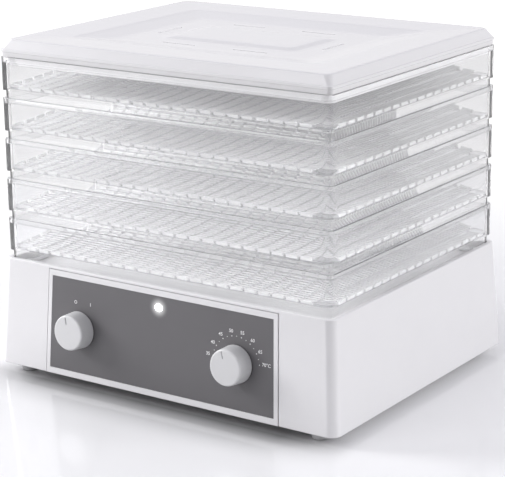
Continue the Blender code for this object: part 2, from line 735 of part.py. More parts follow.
def make_lid():
    """Dished lid with a skirt inside the top tray and six air slits."""
    origin = bpy.data.objects.new("lid_lift", None)
    origin.location = Vector((0, CENTRE_Y, STACK_TOP)) * MM
    bpy.context.scene.collection.objects.link(origin)
    top = LID_RISE
    skin = 2.2

    def draw(shape):
        loft(shape, [
            inset_loop(98.0 + 10, 6, top - 3.0 - skin),
            inset_loop(98.0, 8, top - 4.7 - skin),
            inset_loop(70.0, 8, top - 4.7 - skin),
            inset_loop(43.0, 8, top - 1.6 - skin),
            inset_loop(8.4, 5, top - skin),
            inset_loop(5.6, 7.0, 4.0),
            inset_loop(5.6, 7.0, -7.0),
            inset_loop(3.6, 9.0, -7.0),
            inset_loop(3.6, 9.0, GAP),
            inset_loop(0.8, 3.0, GAP),
            inset_loop(0.6, 3.0, 3.9),
            inset_loop(0.0, 3.5, 4.3),
            inset_loop(0.0, 3.5, 6.4),
            inset_loop(0.8, 3.5, 7.0),
            inset_loop(5.0, 5.0, top - 0.5),
            inset_loop(6.2, 5.0, top),
            inset_loop(42.0, 8, top - 1.6),
            inset_loop(70.0, 8, top - 4.7),
            inset_loop(96.0, 8, top - 4.7),
            inset_loop(98.0 + 8, 6, top - 3.0),
        ])

    def draw_slits(shape):
        low, high, width = -4.0, top + 5, 1.6
        for side in (-1, 1):
            box(shape, (side * 84 - width / 2, -17.5, low), (side * 84 + width / 2, 17.5, high))
            for x in (-36, 36):
                box(shape, (x - 17, side * 52 - width / 2, low), (x + 17, side * 52 + width / 2, high))

    lid = part("lid", FINISH["white"], draw, parent=origin)
    boolean(lid, [guide("lid_slits", draw_slits, origin)])


# ---------------------------------------------------------------- assembly

def make_finishes():
    return {
        "white": material("white_plastic", (0.83, 0.83, 0.84), 0.28),
        "grey": material("fascia_grey", (0.165, 0.163, 0.17), 0.45),
        "knob": material("knob_grey", (0.66, 0.66, 0.67), 0.35),
        "clear": material("clear_plastic", (0.93, 0.94, 0.95), 0.06, alpha=0.25),
        "rubber": material("foot_rubber", (0.55, 0.55, 0.56), 0.6),
        "lamp": material("lamp_lens", (0.95, 0.96, 1.0), 0.15),
        "phenolic": material("control_body", (0.05, 0.045, 0.04), 0.5),
        "steel": material("steel", (0.6, 0.6, 0.61), 0.32, 1.0),
        "lamination": material("core_steel", (0.3, 0.3, 0.31), 0.5, 1.0),
        "copper": material("motor_winding", (0.6, 0.27, 0.12), 0.35, 1.0),
        "bronze": material("bearing_bronze", (0.55, 0.38, 0.18), 0.4, 1.0),
        "mica": material("mica_sheet", (0.62, 0.55, 0.42), 0.55),
        "nichrome": material("heating_wire", (0.42, 0.4, 0.38), 0.45, 1.0),
        "fan": material("fan_plastic", (0.08, 0.08, 0.085), 0.45),
    }


FINISH = {}


def main():
    clear_scene()
    FINISH.update(make_finishes())

    root = bpy.data.objects.new("base", None)
    bpy.context.scene.collection.objects.link(root)
    panel = bpy.data.objects.new("panel_face", None)
    panel.location = Vector((0, CENTRE_Y - TRAY_Y - FLARE_BOTTOM, CASE_BOTTOM)) * MM
    panel.rotation_euler = (-PANEL_TILT, 0, 0)
    panel.parent = root
    bpy.context.scene.collection.objects.link(panel)
    fan_axis = bpy.data.objects.new("fan_axis", None)
    fan_axis.location = Vector((0, CENTRE_Y, 0)) * MM
    bpy.context.scene.collection.objects.link(fan_axis)

    make_housing(FINISH["white"], root, panel)
    make_deck(FINISH["white"], root)
    make_bottom_cover(FINISH["white"], root)
    make_feet(FINISH["rubber"], root)
    make_cord_inlet(FINISH["rubber"], root)
    make_panel(panel)
    make_control("power_switch", "switch_spindle", "power_knob", POWER_X, POWER_POINTER, SWITCH_SIZE,
                 panel)
    make_control("thermostat", "thermostat_spindle", "thermostat_knob", THERMOSTAT_X, THERMOSTAT_POINTER,
                 STAT_SIZE, panel)
    make_air_grille(FINISH["white"], root)
    make_heater(root)
    make_motor(root)
    make_fan(fan_axis)
    make_terminal_block(FINISH["white"], root)
    for number in range(1, TRAY_COUNT + 1):
        make_tray(number)
    make_lid()


main()
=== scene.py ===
"""Looks of a five-tray food dehydrator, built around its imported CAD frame.

Lengths are in millimetres in the classes below and become metres when a mesh is made. +Z is up and the
control panel faces -Y, as in the frame.
"""

import json
import logging
from collections.abc import Mapping, Sequence
from dataclasses import dataclass, field
from enum import Enum
from math import atan2, cos, pi, radians, sin
from typing import Any

import bmesh
import bpy
from mathutils import Matrix, Vector


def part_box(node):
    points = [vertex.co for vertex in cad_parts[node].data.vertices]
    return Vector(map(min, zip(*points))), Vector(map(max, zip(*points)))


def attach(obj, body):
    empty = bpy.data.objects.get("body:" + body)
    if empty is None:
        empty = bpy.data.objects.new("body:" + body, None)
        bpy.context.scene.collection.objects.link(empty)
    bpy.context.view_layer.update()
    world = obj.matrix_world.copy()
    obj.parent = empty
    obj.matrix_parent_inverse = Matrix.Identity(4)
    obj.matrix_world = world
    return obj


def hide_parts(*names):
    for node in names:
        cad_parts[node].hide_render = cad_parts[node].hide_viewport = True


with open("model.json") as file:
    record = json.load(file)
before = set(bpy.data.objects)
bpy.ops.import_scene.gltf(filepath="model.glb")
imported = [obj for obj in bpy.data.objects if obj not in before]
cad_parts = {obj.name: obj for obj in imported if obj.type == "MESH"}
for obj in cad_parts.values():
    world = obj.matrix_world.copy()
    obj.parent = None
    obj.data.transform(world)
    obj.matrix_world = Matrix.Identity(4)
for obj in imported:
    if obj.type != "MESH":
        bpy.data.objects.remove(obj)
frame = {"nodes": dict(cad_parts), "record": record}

LOG = logging.getLogger("dehydrator")
MM = 0.001
TRAY_COUNT = 5

Colour = tuple[float, float, float]
Loop = list[Vector]
Outline = list[tuple[float, float]]
Section = list[tuple[float, ...]]


class Slot(Enum):
    """The record's material slots."""

    WHITE = "white_plastic"
    GREY = "fascia_grey"
    KNOB = "knob_grey"
    CLEAR = "clear_plastic"
    RUBBER = "foot_rubber"
    LAMP = "lamp_lens"
    PHENOLIC = "control_body"
    STEEL = "steel"
    CORE = "core_steel"
    WINDING = "motor_winding"
    BRONZE = "bearing_bronze"
    MICA = "mica_sheet"
    WIRE = "heating_wire"
    FAN = "fan_plastic"


# ---------------------------------------------------------------- node trees


class NodeMaker:
    """Adds nodes to a shader or geometry tree."""

    def __init__(self, tree: bpy.types.NodeTree) -> None:
        """Keep the tree that nodes go into."""
        self.tree = tree

    def node(self, kind: str, settings: Mapping[str, Any] | None = None,
             inputs: Mapping[str | int, Any] | None = None) -> bpy.types.Node:
        """Add one node.

        Args:
            kind: The node's type name.
            settings: Properties set before anything is linked; "stops" fills a colour ramp.
            inputs: Values or links, by socket name or number.

        Returns:
            The new node.
        """
        made = self.tree.nodes.new(kind)
        for name, value in (settings or {}).items():
            if name == "stops":
                self._fill_ramp(made.color_ramp, value)
            else:
                setattr(made, name, value)
        self.feed(made, inputs or {})
        return made

    def feed(self, node: bpy.types.Node, inputs: Mapping[str | int, Any]) -> None:
        """Fill a node's sockets.

        Args:
            node: The node.
            inputs: Values or links, by socket name or number.
        """
        for key, value in inputs.items():
            source = value.socket if isinstance(value, Value) else value
            if isinstance(source, bpy.types.NodeSocket):
                self.tree.links.new(source, node.inputs[key])
            else:
                node.inputs[key].default_value = source

    def ramp(self, place: Any, *stops: tuple[float, Sequence[float]]) -> bpy.types.NodeSocket:
        """A colour ramp's colour at a place, from (place, colour) stops."""
        return self.node("ShaderNodeValToRGB", {"stops": stops}, {"Fac": place}).outputs[0]

    def bump(self, height: Any, strength: float, distance: float) -> bpy.types.NodeSocket:
        """A normal that follows a height."""
        return self.node("ShaderNodeBump", None,
                         {"Strength": strength, "Distance": distance, "Height": height}).outputs[0]

    @staticmethod
    def _fill_ramp(ramp: bpy.types.ColorRamp, stops: Sequence[tuple[float, Sequence[float]]]) -> None:
        """Set a ramp's stops.

        Args:
            ramp: The ramp, with two stops to start with.
            stops: (place, colour) pairs.
        """
        while len(ramp.elements) < len(stops):
            ramp.elements.new(1.0)
        for element, (place, colour) in zip(ramp.elements, stops):
            element.position = place
            element.color = (*colour, 1.0)

    def value(self, node: bpy.types.Node, output: str | int = 0) -> "Value":
        """Wrap one output of a node for arithmetic."""
        return Value(self, node.outputs[output])


@dataclass
class Value:
    """A float socket that takes part in Python arithmetic."""

    maker: NodeMaker
    socket: bpy.types.NodeSocket

    def _math(self, operation: str, first: Any, second: Any = 0.0, clamp: bool = False) -> "Value":
        """Add a Math node and wrap its result."""
        settings = {"operation": operation, "use_clamp": clamp}
        return self.maker.value(self.maker.node("ShaderNodeMath", settings, {0: first, 1: second}))

    def __add__(self, other: Any) -> "Value":
        """Self + other."""
        return self._math("ADD", self, other)

    def __radd__(self, other: Any) -> "Value":
        """Other + self."""
        return self._math("ADD", other, self)

    def __sub__(self, other: Any) -> "Value":
        """Self - other."""
        return self._math("SUBTRACT", self, other)

    def __rsub__(self, other: Any) -> "Value":
        """Other - self."""
        return self._math("SUBTRACT", other, self)

    def __mul__(self, other: Any) -> "Value":
        """Self * other."""
        return self._math("MULTIPLY", self, other)

    def __rmul__(self, other: Any) -> "Value":
        """Other * self."""
        return self._math("MULTIPLY", other, self)

    def __truediv__(self, other: Any) -> "Value":
        """Self / other."""
        return self._math("DIVIDE", self, other)

    def __pow__(self, other: Any) -> "Value":
        """Self ** other."""
        return self._math("POWER", self, other)

    def root(self) -> "Value":
        """Square root."""
        return self._math("SQRT", self)

    def sine(self) -> "Value":
        """Sine of an angle in radians."""
        return self._math("SINE", self)

    def cosine(self) -> "Value":
        """Cosine of an angle in radians."""
        return self._math("COSINE", self)

    def above(self, limit: Any) -> "Value":
        """1 where self is over a limit, else 0."""
        return self._math("GREATER_THAN", self, limit)

    def size(self) -> "Value":
        """Absolute value."""
        return self._math("ABSOLUTE", self)

    def floor(self) -> "Value":
        """Self rounded down."""
        return self._math("FLOOR", self)

    def remainder(self, divisor: Any) -> "Value":
        """What is left of self after whole divisors."""
        return self._math("MODULO", self, divisor)

    def clamped(self) -> "Value":
        """Self kept between 0 and 1."""
        return self._math("ADD", self, 0.0, clamp=True)


# ---------------------------------------------------------------- finishes


def new_material(name: str) -> tuple[bpy.types.Material, NodeMaker, bpy.types.Node]:
    """Start a node material.

    Args:
        name: The material's name.

    Returns:
        The material, a maker for its tree, and its Principled node.
    """
    made = bpy.data.materials.new(name)
    made.use_nodes = True
    return made, NodeMaker(made.node_tree), made.node_tree.nodes["Principled BSDF"]


def object_place(maker: NodeMaker) -> bpy.types.NodeSocket:
    """The shaded place in Object coordinates."""
    return maker.node("ShaderNodeTexCoord").outputs["Object"]


def noise(maker: NodeMaker, scale: float, detail: float = 2.0,
          stretch: Sequence[float] = (1, 1, 1)) -> Value:
    """Noise on Object coordinates.

    Args:
        maker: The tree's maker.
        scale: Features per metre.
        detail: Octaves.
        stretch: Scale along each axis, for grain that runs one way.

    Returns:
        The noise, 0 to 1.
    """
    turned = maker.node("ShaderNodeMapping", None, {"Vector": object_place(maker), "Scale": stretch})
    made = maker.node("ShaderNodeTexNoise", None,
                      {"Vector": turned.outputs[0], "Scale": scale, "Detail": detail, "Roughness": 0.55})
    return maker.value(made, "Fac")


def distance_from(maker: NodeMaker, centre: Vector) -> Value:
    """Distance from a point to the shaded place.

    Args:
        maker: The tree's maker.
        centre: The point, in metres.

    Returns:
        The distance, in metres.
    """
    made = maker.node("ShaderNodeVectorMath", {"operation": "DISTANCE"},
                      {0: object_place(maker), 1: centre})
    return maker.value(made, "Value")


def toned(colour: Sequence[float], factor: float) -> list[float]:
    """A colour made lighter or darker, up to white."""
    return [min(channel * factor, 1.0) for channel in colour]


@dataclass(frozen=True)
class Moulded:
    """A moulded plastic or rubber with a faint texture."""

    name: str
    colour: Colour
    roughness: float
    mottle: float = 0.02
    grain: float = 1400.0
    relief: float = 0.03
    coat: float = 0.0
    coat_roughness: float = 0.08
    cloud_scale: float = 38.0
    gloss_change: float = 0.08
    grain_depth: float = 0.0002

    def build(self) -> bpy.types.Material:
        """Make the material.

        Returns:
            The material.
        """
        made, maker, shader = new_material(self.name)
        cloud = noise(maker, self.cloud_scale)
        maker.feed(shader, {
            "Base Color": maker.ramp(cloud, (0.3, toned(self.colour, 1 - self.mottle)),
                                     (0.7, toned(self.colour, 1 + self.mottle))),
            "Roughness": self.roughness + self.gloss_change * (cloud - 0.5),
            "Normal": maker.bump(noise(maker, self.grain), self.relief, self.grain_depth),
            "Coat Weight": self.coat,
            "Coat Roughness": self.coat_roughness,
        })
        return made


@dataclass(frozen=True)
class Lit:
    """The lamp's lens, glowing in an oval at its middle."""

    name: str
    colour: Colour
    strength: float
    lamp: Vector
    half_width: float = 0.0046
    half_height: float = 0.0029
    roughness: float = 0.2

    def build(self) -> bpy.types.Material:
        """Make the material.

        Returns:
            The material.
        """
        made, maker, shader = new_material(self.name)
        apart = maker.node("ShaderNodeSeparateXYZ", None, {0: object_place(maker)})
        across = (maker.value(apart, "X") - self.lamp.x) / self.half_width
        upward = (maker.value(apart, "Z") - self.lamp.z) / self.half_height
        out = (across * across + upward * upward).root()
        tint = maker.ramp(out, (0.75, self.colour), (1.0, toned(self.colour, 0.1)))
        maker.feed(shader, {"Base Color": tint, "Emission Color": tint, "Emission Strength": self.strength,
                            "Roughness": self.roughness})
        return made


@dataclass(frozen=True)
class Metal:
    """Sheet, bar or wire with a grain that runs one way."""

    name: str
    colour: Colour
    roughness: float
    stretch: tuple[float, float, float] = (1.0, 1.0, 12.0)
    grain: float = 260.0
    relief: float = 0.08
    gloss_change: float = 0.15

    def build(self) -> bpy.types.Material:
        """Make the material.

        Returns:
            The material.
        """
        made, maker, shader = new_material(self.name)
        grain = noise(maker, self.grain, 3.0, self.stretch)
        maker.feed(shader, {
            "Base Color": maker.ramp(grain, (0.25, toned(self.colour, 0.82)), (0.75, self.colour)),
            "Roughness": self.roughness + self.gloss_change * (grain - 0.5),
            "Normal": maker.bump(grain, self.relief, 0.0002),
            "Metallic": 1.0,
        })
        return made


@dataclass(frozen=True)
class Clear:
    """Clear moulded plastic with a barely wavy skin."""

    name: str
    colour: Colour
    roughness: float
    index: float
    clarity: float = 1.0
    coat: float = 1.0
    passed: float = 0.96
    wave_scale: float = 24.0
    wave_strength: float = 0.05

    def build(self) -> bpy.types.Material:
        """Make the material, which lets the light of lamps through to what is inside.

        Returns:
            The material.
        """
        made, maker, shader = new_material(self.name)
        flow = noise(maker, self.wave_scale, 1.0)
        maker.feed(shader, {
            "Base Color": (*self.colour, 1.0),
            "Roughness": self.roughness + 0.02 * flow,
            "Normal": maker.bump(flow, self.wave_strength, 0.001),
            "Transmission Weight": self.clarity,
            "IOR": self.index,
            "Coat Weight": self.coat,
            "Coat Roughness": 0.02,
        })
        lamps = maker.node("ShaderNodeLightPath").outputs["Is Shadow Ray"]
        open_way = maker.node("ShaderNodeBsdfTransparent", None,
                              {"Color": (self.passed, self.passed, self.passed, 1.0)})
        both = maker.node("ShaderNodeMixShader", None,
                          {0: lamps, 1: shader.outputs[0], 2: open_way.outputs[0]})
        maker.feed(made.node_tree.nodes["Material Output"], {"Surface": both.outputs[0]})
        return made


@dataclass(frozen=True)
class Printed:
    """The satin grey panel, with the lamp's light painted on it as a glow."""

    name: str
    colour: Colour
    roughness: float
    glow: float
    reach: float
    lamp: Vector
    falloff: float = 2.4
    cloud_scale: float = 22.0
    grain: float = 2200.0

    def build(self) -> bpy.types.Material:
        """Make the material.

        Returns:
            The material.
        """
        made, maker, shader = new_material(self.name)
        cloud = noise(maker, self.cloud_scale)
        # painted glow: emission that fades with distance from the lamp stands in for the lamp's light on
        # the panel
        near = (1.0 - distance_from(maker, self.lamp) / self.reach).clamped() ** self.falloff
        maker.feed(shader, {
            "Base Color": maker.ramp(cloud, (0.3, toned(self.colour, 0.97)),
                                     (0.7, toned(self.colour, 1.03))),
            "Emission Color": maker.ramp(near, (0.0, (0.0, 0.0, 0.0)), (1.0, (1.0, 1.0, 1.0))),
            "Emission Strength": self.glow,
            "Roughness": self.roughness + 0.06 * (cloud - 0.5),
            "Normal": maker.bump(noise(maker, self.grain), 0.05, 0.0001),
        })
        return made


def make_finishes(lamp: Vector) -> dict[Slot, bpy.types.Material]:
    """Make the finish of every slot.

    Args:
        lamp: The lamp's place, in metres.

    Returns:
        The materials by slot.
    """
    finishes = {
        Slot.WHITE: Moulded("white_moulding", (0.80, 0.793, 0.808), 0.24, 0.006, 900.0, 0.02, 0.5),
        # the grey panel carries a painted glow of the lamp's light: strength 1.6, reach 0.0105 m
        Slot.GREY: Printed("satin_grey_panel", (0.137, 0.133, 0.140), 0.42, 1.6, 0.0105, lamp),
        Slot.KNOB: Moulded("knob_moulding", (0.68, 0.68, 0.69), 0.36, 0.01, 1600.0, 0.05),
        Slot.CLEAR: Clear("clear_moulding", (0.985, 0.987, 0.992), 0.006, 1.36, 0.965),
        Slot.RUBBER: Moulded("foot_rubber", (0.56, 0.56, 0.57), 0.6, 0.03, 1100.0, 0.1),
        Slot.LAMP: Lit("lamp_glow", (1.0, 1.0, 1.0), 14.0, lamp),
        Slot.PHENOLIC: Moulded("phenolic_moulding", (0.035, 0.03, 0.028), 0.45, 0.08, 700.0, 0.15),
        Slot.STEEL: Metal("plated_steel", (0.62, 0.62, 0.63), 0.32),
        Slot.CORE: Metal("core_laminations", (0.30, 0.30, 0.31), 0.5, (1.0, 1.0, 30.0)),
        Slot.WINDING: Metal("copper_winding", (0.60, 0.27, 0.12), 0.35, (1.0, 14.0, 14.0)),
        Slot.BRONZE: Metal("bush_bronze", (0.55, 0.38, 0.18), 0.4),
        Slot.MICA: Moulded("mica_board", (0.55, 0.47, 0.33), 0.5, 0.2, 320.0, 0.3),
        Slot.WIRE: Metal("heating_wire", (0.36, 0.33, 0.31), 0.5),
        Slot.FAN: Moulded("fan_moulding", (0.05, 0.05, 0.055), 0.4, 0.04, 900.0, 0.08),
    }
    return {slot: finish.build() for slot, finish in finishes.items()}


# ---------------------------------------------------------------- mesh work


def arc_step(corner: int, step: int, steps: int) -> float:
    """Angle of one point of a rounded corner, counted anticlockwise from +X."""
    return (corner + step / steps) * pi / 2


def rounded_loop(half_x: float, half_y: float, radius: float, z: float, steps: int) -> Loop:
    """A level rectangle with rounded corners, anticlockwise from above.

    Args:
        half_x: Half its width.
        half_y: Half its depth.
        radius: Its corners' radius.
        z: Its height.
        steps: Edges in each corner.

    Returns:
        Its points.
    """
    points = []
    for corner, (side_x, side_y) in enumerate(((1, 1), (-1, 1), (-1, -1), (1, -1))):
        for step in range(steps + 1):
            angle = arc_step(corner, step, steps)
            points.append(Vector((side_x * (half_x - radius) + radius * cos(angle),
                                  side_y * (half_y - radius) + radius * sin(angle), z)))
    return points


def softened(points: Sequence[Sequence[float]], closed: bool, steps: int = 3) -> Section:
    """Round the corners of a profile.

    Args:
        points: Points whose last number is how far their corner is cut back.
        closed: Whether the last point joins the first.
        steps: Edges in each rounded corner.

    Returns:
        The points without that last number, with each corner replaced by a short curve.
    """
    made = []
    count = len(points)
    for i, point in enumerate(points):
        here, cut = Vector(point[:-1]), point[-1]
        ends = closed or 0 < i < count - 1
        before = Vector(points[i - 1][:-1])
        after = Vector(points[(i + 1) % count][:-1])
        cut = min(cut, (before - here).length * 0.45, (after - here).length * 0.45)
        if not ends or cut <= 0:
            made.append(tuple(here))
            continue
        start = here + (before - here).normalized() * cut
        end = here + (after - here).normalized() * cut
        for step in range(steps + 1):
            t = step / steps
            made.append(tuple((1 - t) ** 2 * start + 2 * t * (1 - t) * here + t ** 2 * end))
    return made


class Shape:
    """A mesh that is being drawn in millimetres."""

    def __init__(self) -> None:
        """Start empty."""
        self.bm = bmesh.new()

    def loft(self, loops: Sequence[Loop], ring: bool = False) -> None:
        """Skin loops of equal length.

        Args:
            loops: The loops, in order.
            ring: Whether the last joins the first; else both ends are capped.
        """
        rows = [[self.bm.verts.new(point) for point in loop] for loop in loops]
        pairs = list(zip(rows, rows[1:]))
        if ring:
            pairs.append((rows[-1], rows[0]))
        for low, high in pairs:
            for i in range(len(low)):
                j = (i + 1) % len(low)
                self.bm.faces.new((low[i], low[j], high[j], high[i]))
        if not ring:
            self.bm.faces.new(list(reversed(rows[0])))
            self.bm.faces.new(rows[-1])

    def turned(self, profile: Sequence[Sequence[float]], count: int, place: Matrix | None = None) -> None:
        """Revolve (radius, height) points about Z; a radius of 0 closes an end.

        Args:
            profile: The points, from one end to the other, or a closed ring's section.
            count: Facets around.
            place: Where the piece goes.
        """
        place = place or Matrix.Identity(4)
        rows = []
        for radius, z in profile:
            turns = 1 if radius < 1e-6 else count
            rows.append([self.bm.verts.new(place @ Vector((radius * cos(2 * pi * i / count),
                                                            radius * sin(2 * pi * i / count), z)))
                         for i in range(turns)])
        closed = profile[0][0] > 1e-6
        for low, high in zip(rows, rows[1:] + (rows[:1] if closed else [])):
            for i in range(count):
                j = (i + 1) % count
                corners = [low[i % len(low)], low[j % len(low)], high[j % len(high)], high[i % len(high)]]
                self.bm.faces.new(list(dict.fromkeys(corners)))

    def box(self, low: Sequence[float], high: Sequence[float], soften: float = 0.0) -> None:
        """An upright box.

        Args:
            low: Its lowest corner.
            high: Its highest corner.
            soften: How far its edges are rounded.
        """
        size = Vector(high) - Vector(low)
        made = bmesh.ops.create_cube(self.bm, size=1.0)["verts"]
        bmesh.ops.scale(self.bm, vec=size, verts=made)
        bmesh.ops.translate(self.bm, vec=(Vector(high) + Vector(low)) / 2, verts=made)
        self.round_edges({edge for vert in made for edge in vert.link_edges}, soften)

    def prism(self, outline: Outline, low: float, high: float, soften: float = 0.0) -> None:
        """Extrude an (x, z) outline along Y.

        Args:
            outline: The outline.
            low: Where it starts.
            high: Where it ends.
            soften: How far its edges are rounded.
        """
        near = [self.bm.verts.new((x, low, z)) for x, z in outline]
        far = [self.bm.verts.new((x, high, z)) for x, z in outline]
        faces = [self.bm.faces.new(list(reversed(near))), self.bm.faces.new(far)]
        for i in range(len(outline)):
            j = (i + 1) % len(outline)
            faces.append(self.bm.faces.new((near[i], near[j], far[j], far[i])))
        self.round_edges({edge for face in faces for edge in face.edges}, soften)

    def round_edges(self, edges: set[bmesh.types.BMEdge], soften: float, segments: int = 2) -> None:
        """Round some edges.

        Args:
            edges: The edges.
            soften: How far they are rounded; 0 leaves them sharp.
            segments: Faces across each rounded edge.
        """
        if soften:
            bmesh.ops.bevel(self.bm, geom=list(edges), offset=soften, segments=segments, affect="EDGES",
                            profile=0.5)

    def mesh(self, name: str, place: Matrix | None = None, smooth: float = 40.0) -> bpy.types.Mesh:
        """Finish the mesh in metres.

        Args:
            name: The mesh's name.
            place: Where it goes, in millimetres.
            smooth: Edges sharper than this angle in degrees stay sharp.

        Returns:
            The mesh, faces outwards.
        """
        if place is not None:
            bmesh.ops.transform(self.bm, matrix=place, verts=self.bm.verts)
        bmesh.ops.scale(self.bm, vec=(MM, MM, MM), verts=self.bm.verts)
        bmesh.ops.recalc_face_normals(self.bm, faces=self.bm.faces)
        made = bpy.data.meshes.new(name)
        self.bm.to_mesh(made)
        self.bm.free()
        made.shade_smooth()
        made.set_sharp_from_angle(angle=radians(smooth))
        return made


def add_object(name: str, mesh: bpy.types.Mesh,
               finish: bpy.types.Material | None = None) -> bpy.types.Object:
    """Link a mesh as an object at the origin.

    Args:
        name: The object's name.
        mesh: Its mesh.
        finish: Its only material.

    Returns:
        The object.
    """
    made = bpy.data.objects.new(name, mesh)
    if finish is not None:
        mesh.materials.clear()
        mesh.materials.append(finish)
    bpy.context.scene.collection.objects.link(made)
    return made


def settle(thing: bpy.types.Object) -> None:
    """Turn an object's modifiers into plain mesh.

    Args:
        thing: The object.
    """
    depsgraph = bpy.context.evaluated_depsgraph_get()
    mesh = bpy.data.meshes.new_from_object(thing.evaluated_get(depsgraph), depsgraph=depsgraph)
    thing.modifiers.clear()
    mesh.name = thing.name
    thing.data = mesh


def carve(thing: bpy.types.Object, cutters: Sequence[bpy.types.Mesh]) -> None:
    """Cut solids out of an object.

    Args:
        thing: The object.
        cutters: The solids, at the origin; they are dropped.
    """
    tools = [add_object(f"{thing.name}_cutter", mesh) for mesh in cutters]
    for tool in tools:
        step = thing.modifiers.new("cut", "BOOLEAN")
        step.operation = "DIFFERENCE"
        step.solver = "EXACT"
        step.object = tool
    settle(thing)
    for tool in tools:
        bpy.data.objects.remove(tool, do_unlink=True)


def even_light(thing: bpy.types.Object) -> None:
    """Weigh normals by face size, so that flat stretches shade flat.

    Args:
        thing: The object.
    """
    thing.data.set_sharp_from_angle(angle=radians(40))
    step = thing.modifiers.new("even", "WEIGHTED_NORMAL")
    step.keep_sharp = True
    settle(thing)


def joined(name: str, things: Sequence[bpy.types.Object], finish: bpy.types.Material) -> bpy.types.Object:
    """Join objects into one mesh of one finish.

    Args:
        name: The new object's name.
        things: Objects at the origin; they are dropped.
        finish: The new object's only material.

    Returns:
        The joined object.
    """
    whole = bmesh.new()
    for thing in things:
        whole.from_mesh(thing.data)
    mesh = bpy.data.meshes.new(name)
    whole.to_mesh(mesh)
    whole.free()
    for thing in things:
        bpy.data.objects.remove(thing, do_unlink=True)
    mesh.shade_smooth()
    mesh.set_sharp_from_angle(angle=radians(35))
    for polygon in mesh.polygons:
        polygon.material_index = 0
    return add_object(name, mesh, finish)


def install(piece: bpy.types.Object, body: str, slot: Slot, *nodes: str) -> None:
    """Give a finished piece its body, in place of CAD nodes.

    Args:
        piece: The finished piece.
        body: The body it rides on.
        slot: Not used.
        nodes: CAD nodes that it stands for.
    """
    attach(piece, body)
    if nodes:
        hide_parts(*nodes)
    LOG.info("%s on %s: %d faces", piece.name, body, len(piece.data.polygons))


# ---------------------------------------------------------------- geometry node trees


@dataclass
class Pattern:
    """A geometry tree that repeats a shape, with named inputs for its sizes."""

    name: str
    sizes: dict[str, float]
    finish: bpy.types.Material
    maker: NodeMaker = field(init=False)
    entry: bpy.types.Node = field(init=False)

    def __post_init__(self) -> None:
        """Start the tree with its named inputs."""
        tree = bpy.data.node_groups.new(self.name, "GeometryNodeTree")
        tree.interface.new_socket("Geometry", in_out="OUTPUT", socket_type="NodeSocketGeometry")
        for label in self.sizes:
            tree.interface.new_socket(label, in_out="INPUT", socket_type="NodeSocketFloat")
        self.maker = NodeMaker(tree)
        self.entry = self.maker.node("NodeGroupInput")

    def size(self, label: str) -> Value:
        """A named input, for arithmetic."""
        return self.maker.value(self.entry, label)

    def index(self) -> Value:
        """The point's number."""
        return self.maker.value(self.maker.node("GeometryNodeInputIndex"))

    def vector(self, x: Any = 0.0, y: Any = 0.0, z: Any = 0.0) -> bpy.types.NodeSocket:
        """A vector from three values."""
        return self.maker.node("ShaderNodeCombineXYZ", None, {"X": x, "Y": y, "Z": z}).outputs[0]

    def points(self, count: Any, place: bpy.types.NodeSocket) -> bpy.types.NodeSocket:
        """Points at a place worked out for each."""
        return self.maker.node("GeometryNodePoints", None, {"Count": count, "Position": place}).outputs[0]

    def grow(self, points: bpy.types.NodeSocket, shape: bpy.types.NodeSocket, scale: Any = (1, 1, 1),
             rotation: Any = (0, 0, 0), keep: Value | None = None) -> bpy.types.Object:
        """Put a shape on points and settle the result.

        Args:
            points: Where copies go.
            shape: The shape that is repeated.
            scale: Each copy's scale.
            rotation: Each copy's turn.
            keep: 1 where a point is used.

        Returns:
            An object at the origin with the realised mesh.
        """
        values = {"Points": points, "Instance": shape, "Scale": scale, "Rotation": rotation}
        if keep is not None:
            values["Selection"] = keep
        copies = self.maker.node("GeometryNodeInstanceOnPoints", None, values)
        real = self.maker.node("GeometryNodeRealizeInstances", None, {"Geometry": copies.outputs[0]})
        welded = self.maker.node("GeometryNodeMergeByDistance", None,
                                 {"Geometry": real.outputs[0], "Distance": 0.02 * MM})
        dressed = self.maker.node("GeometryNodeSetMaterial", None,
                                  {"Geometry": welded.outputs[0], "Material": self.finish})
        self.maker.node("NodeGroupOutput", None, {"Geometry": dressed.outputs[0]})
        thing = add_object(self.name, bpy.data.meshes.new(self.name))
        step = thing.modifiers.new(self.name, "NODES")
        step.node_group = self.maker.tree
        for socket in self.maker.tree.interface.items_tree:
            if socket.in_out == "INPUT":
                step[socket.identifier] = self.sizes[socket.name]
        settle(thing)
        return thing

    def grow_mesh(self, points: bpy.types.NodeSocket, mesh: bpy.types.Mesh, **how: Any) -> bpy.types.Object:
        """Put a mesh on points, as grow does with a node's shape.

        Args:
            points: Where copies go.
            mesh: The mesh that is repeated.
            how: What else grow takes.

        Returns:
            An object at the origin with the realised mesh.
        """
        seed = add_object(f"{self.name}_seed", mesh)
        shape = self.maker.node("GeometryNodeObjectInfo", None, {"Object": seed}).outputs["Geometry"]
        made = self.grow(points, shape, **how)
        bpy.data.objects.remove(seed, do_unlink=True)
        return made


# ---------------------------------------------------------------- layout


def box_of(node: str) -> tuple[Vector, Vector]:
    """A CAD node's lowest and highest corners, in millimetres."""
    low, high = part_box(node)
    return Vector(low) / MM, Vector(high) / MM


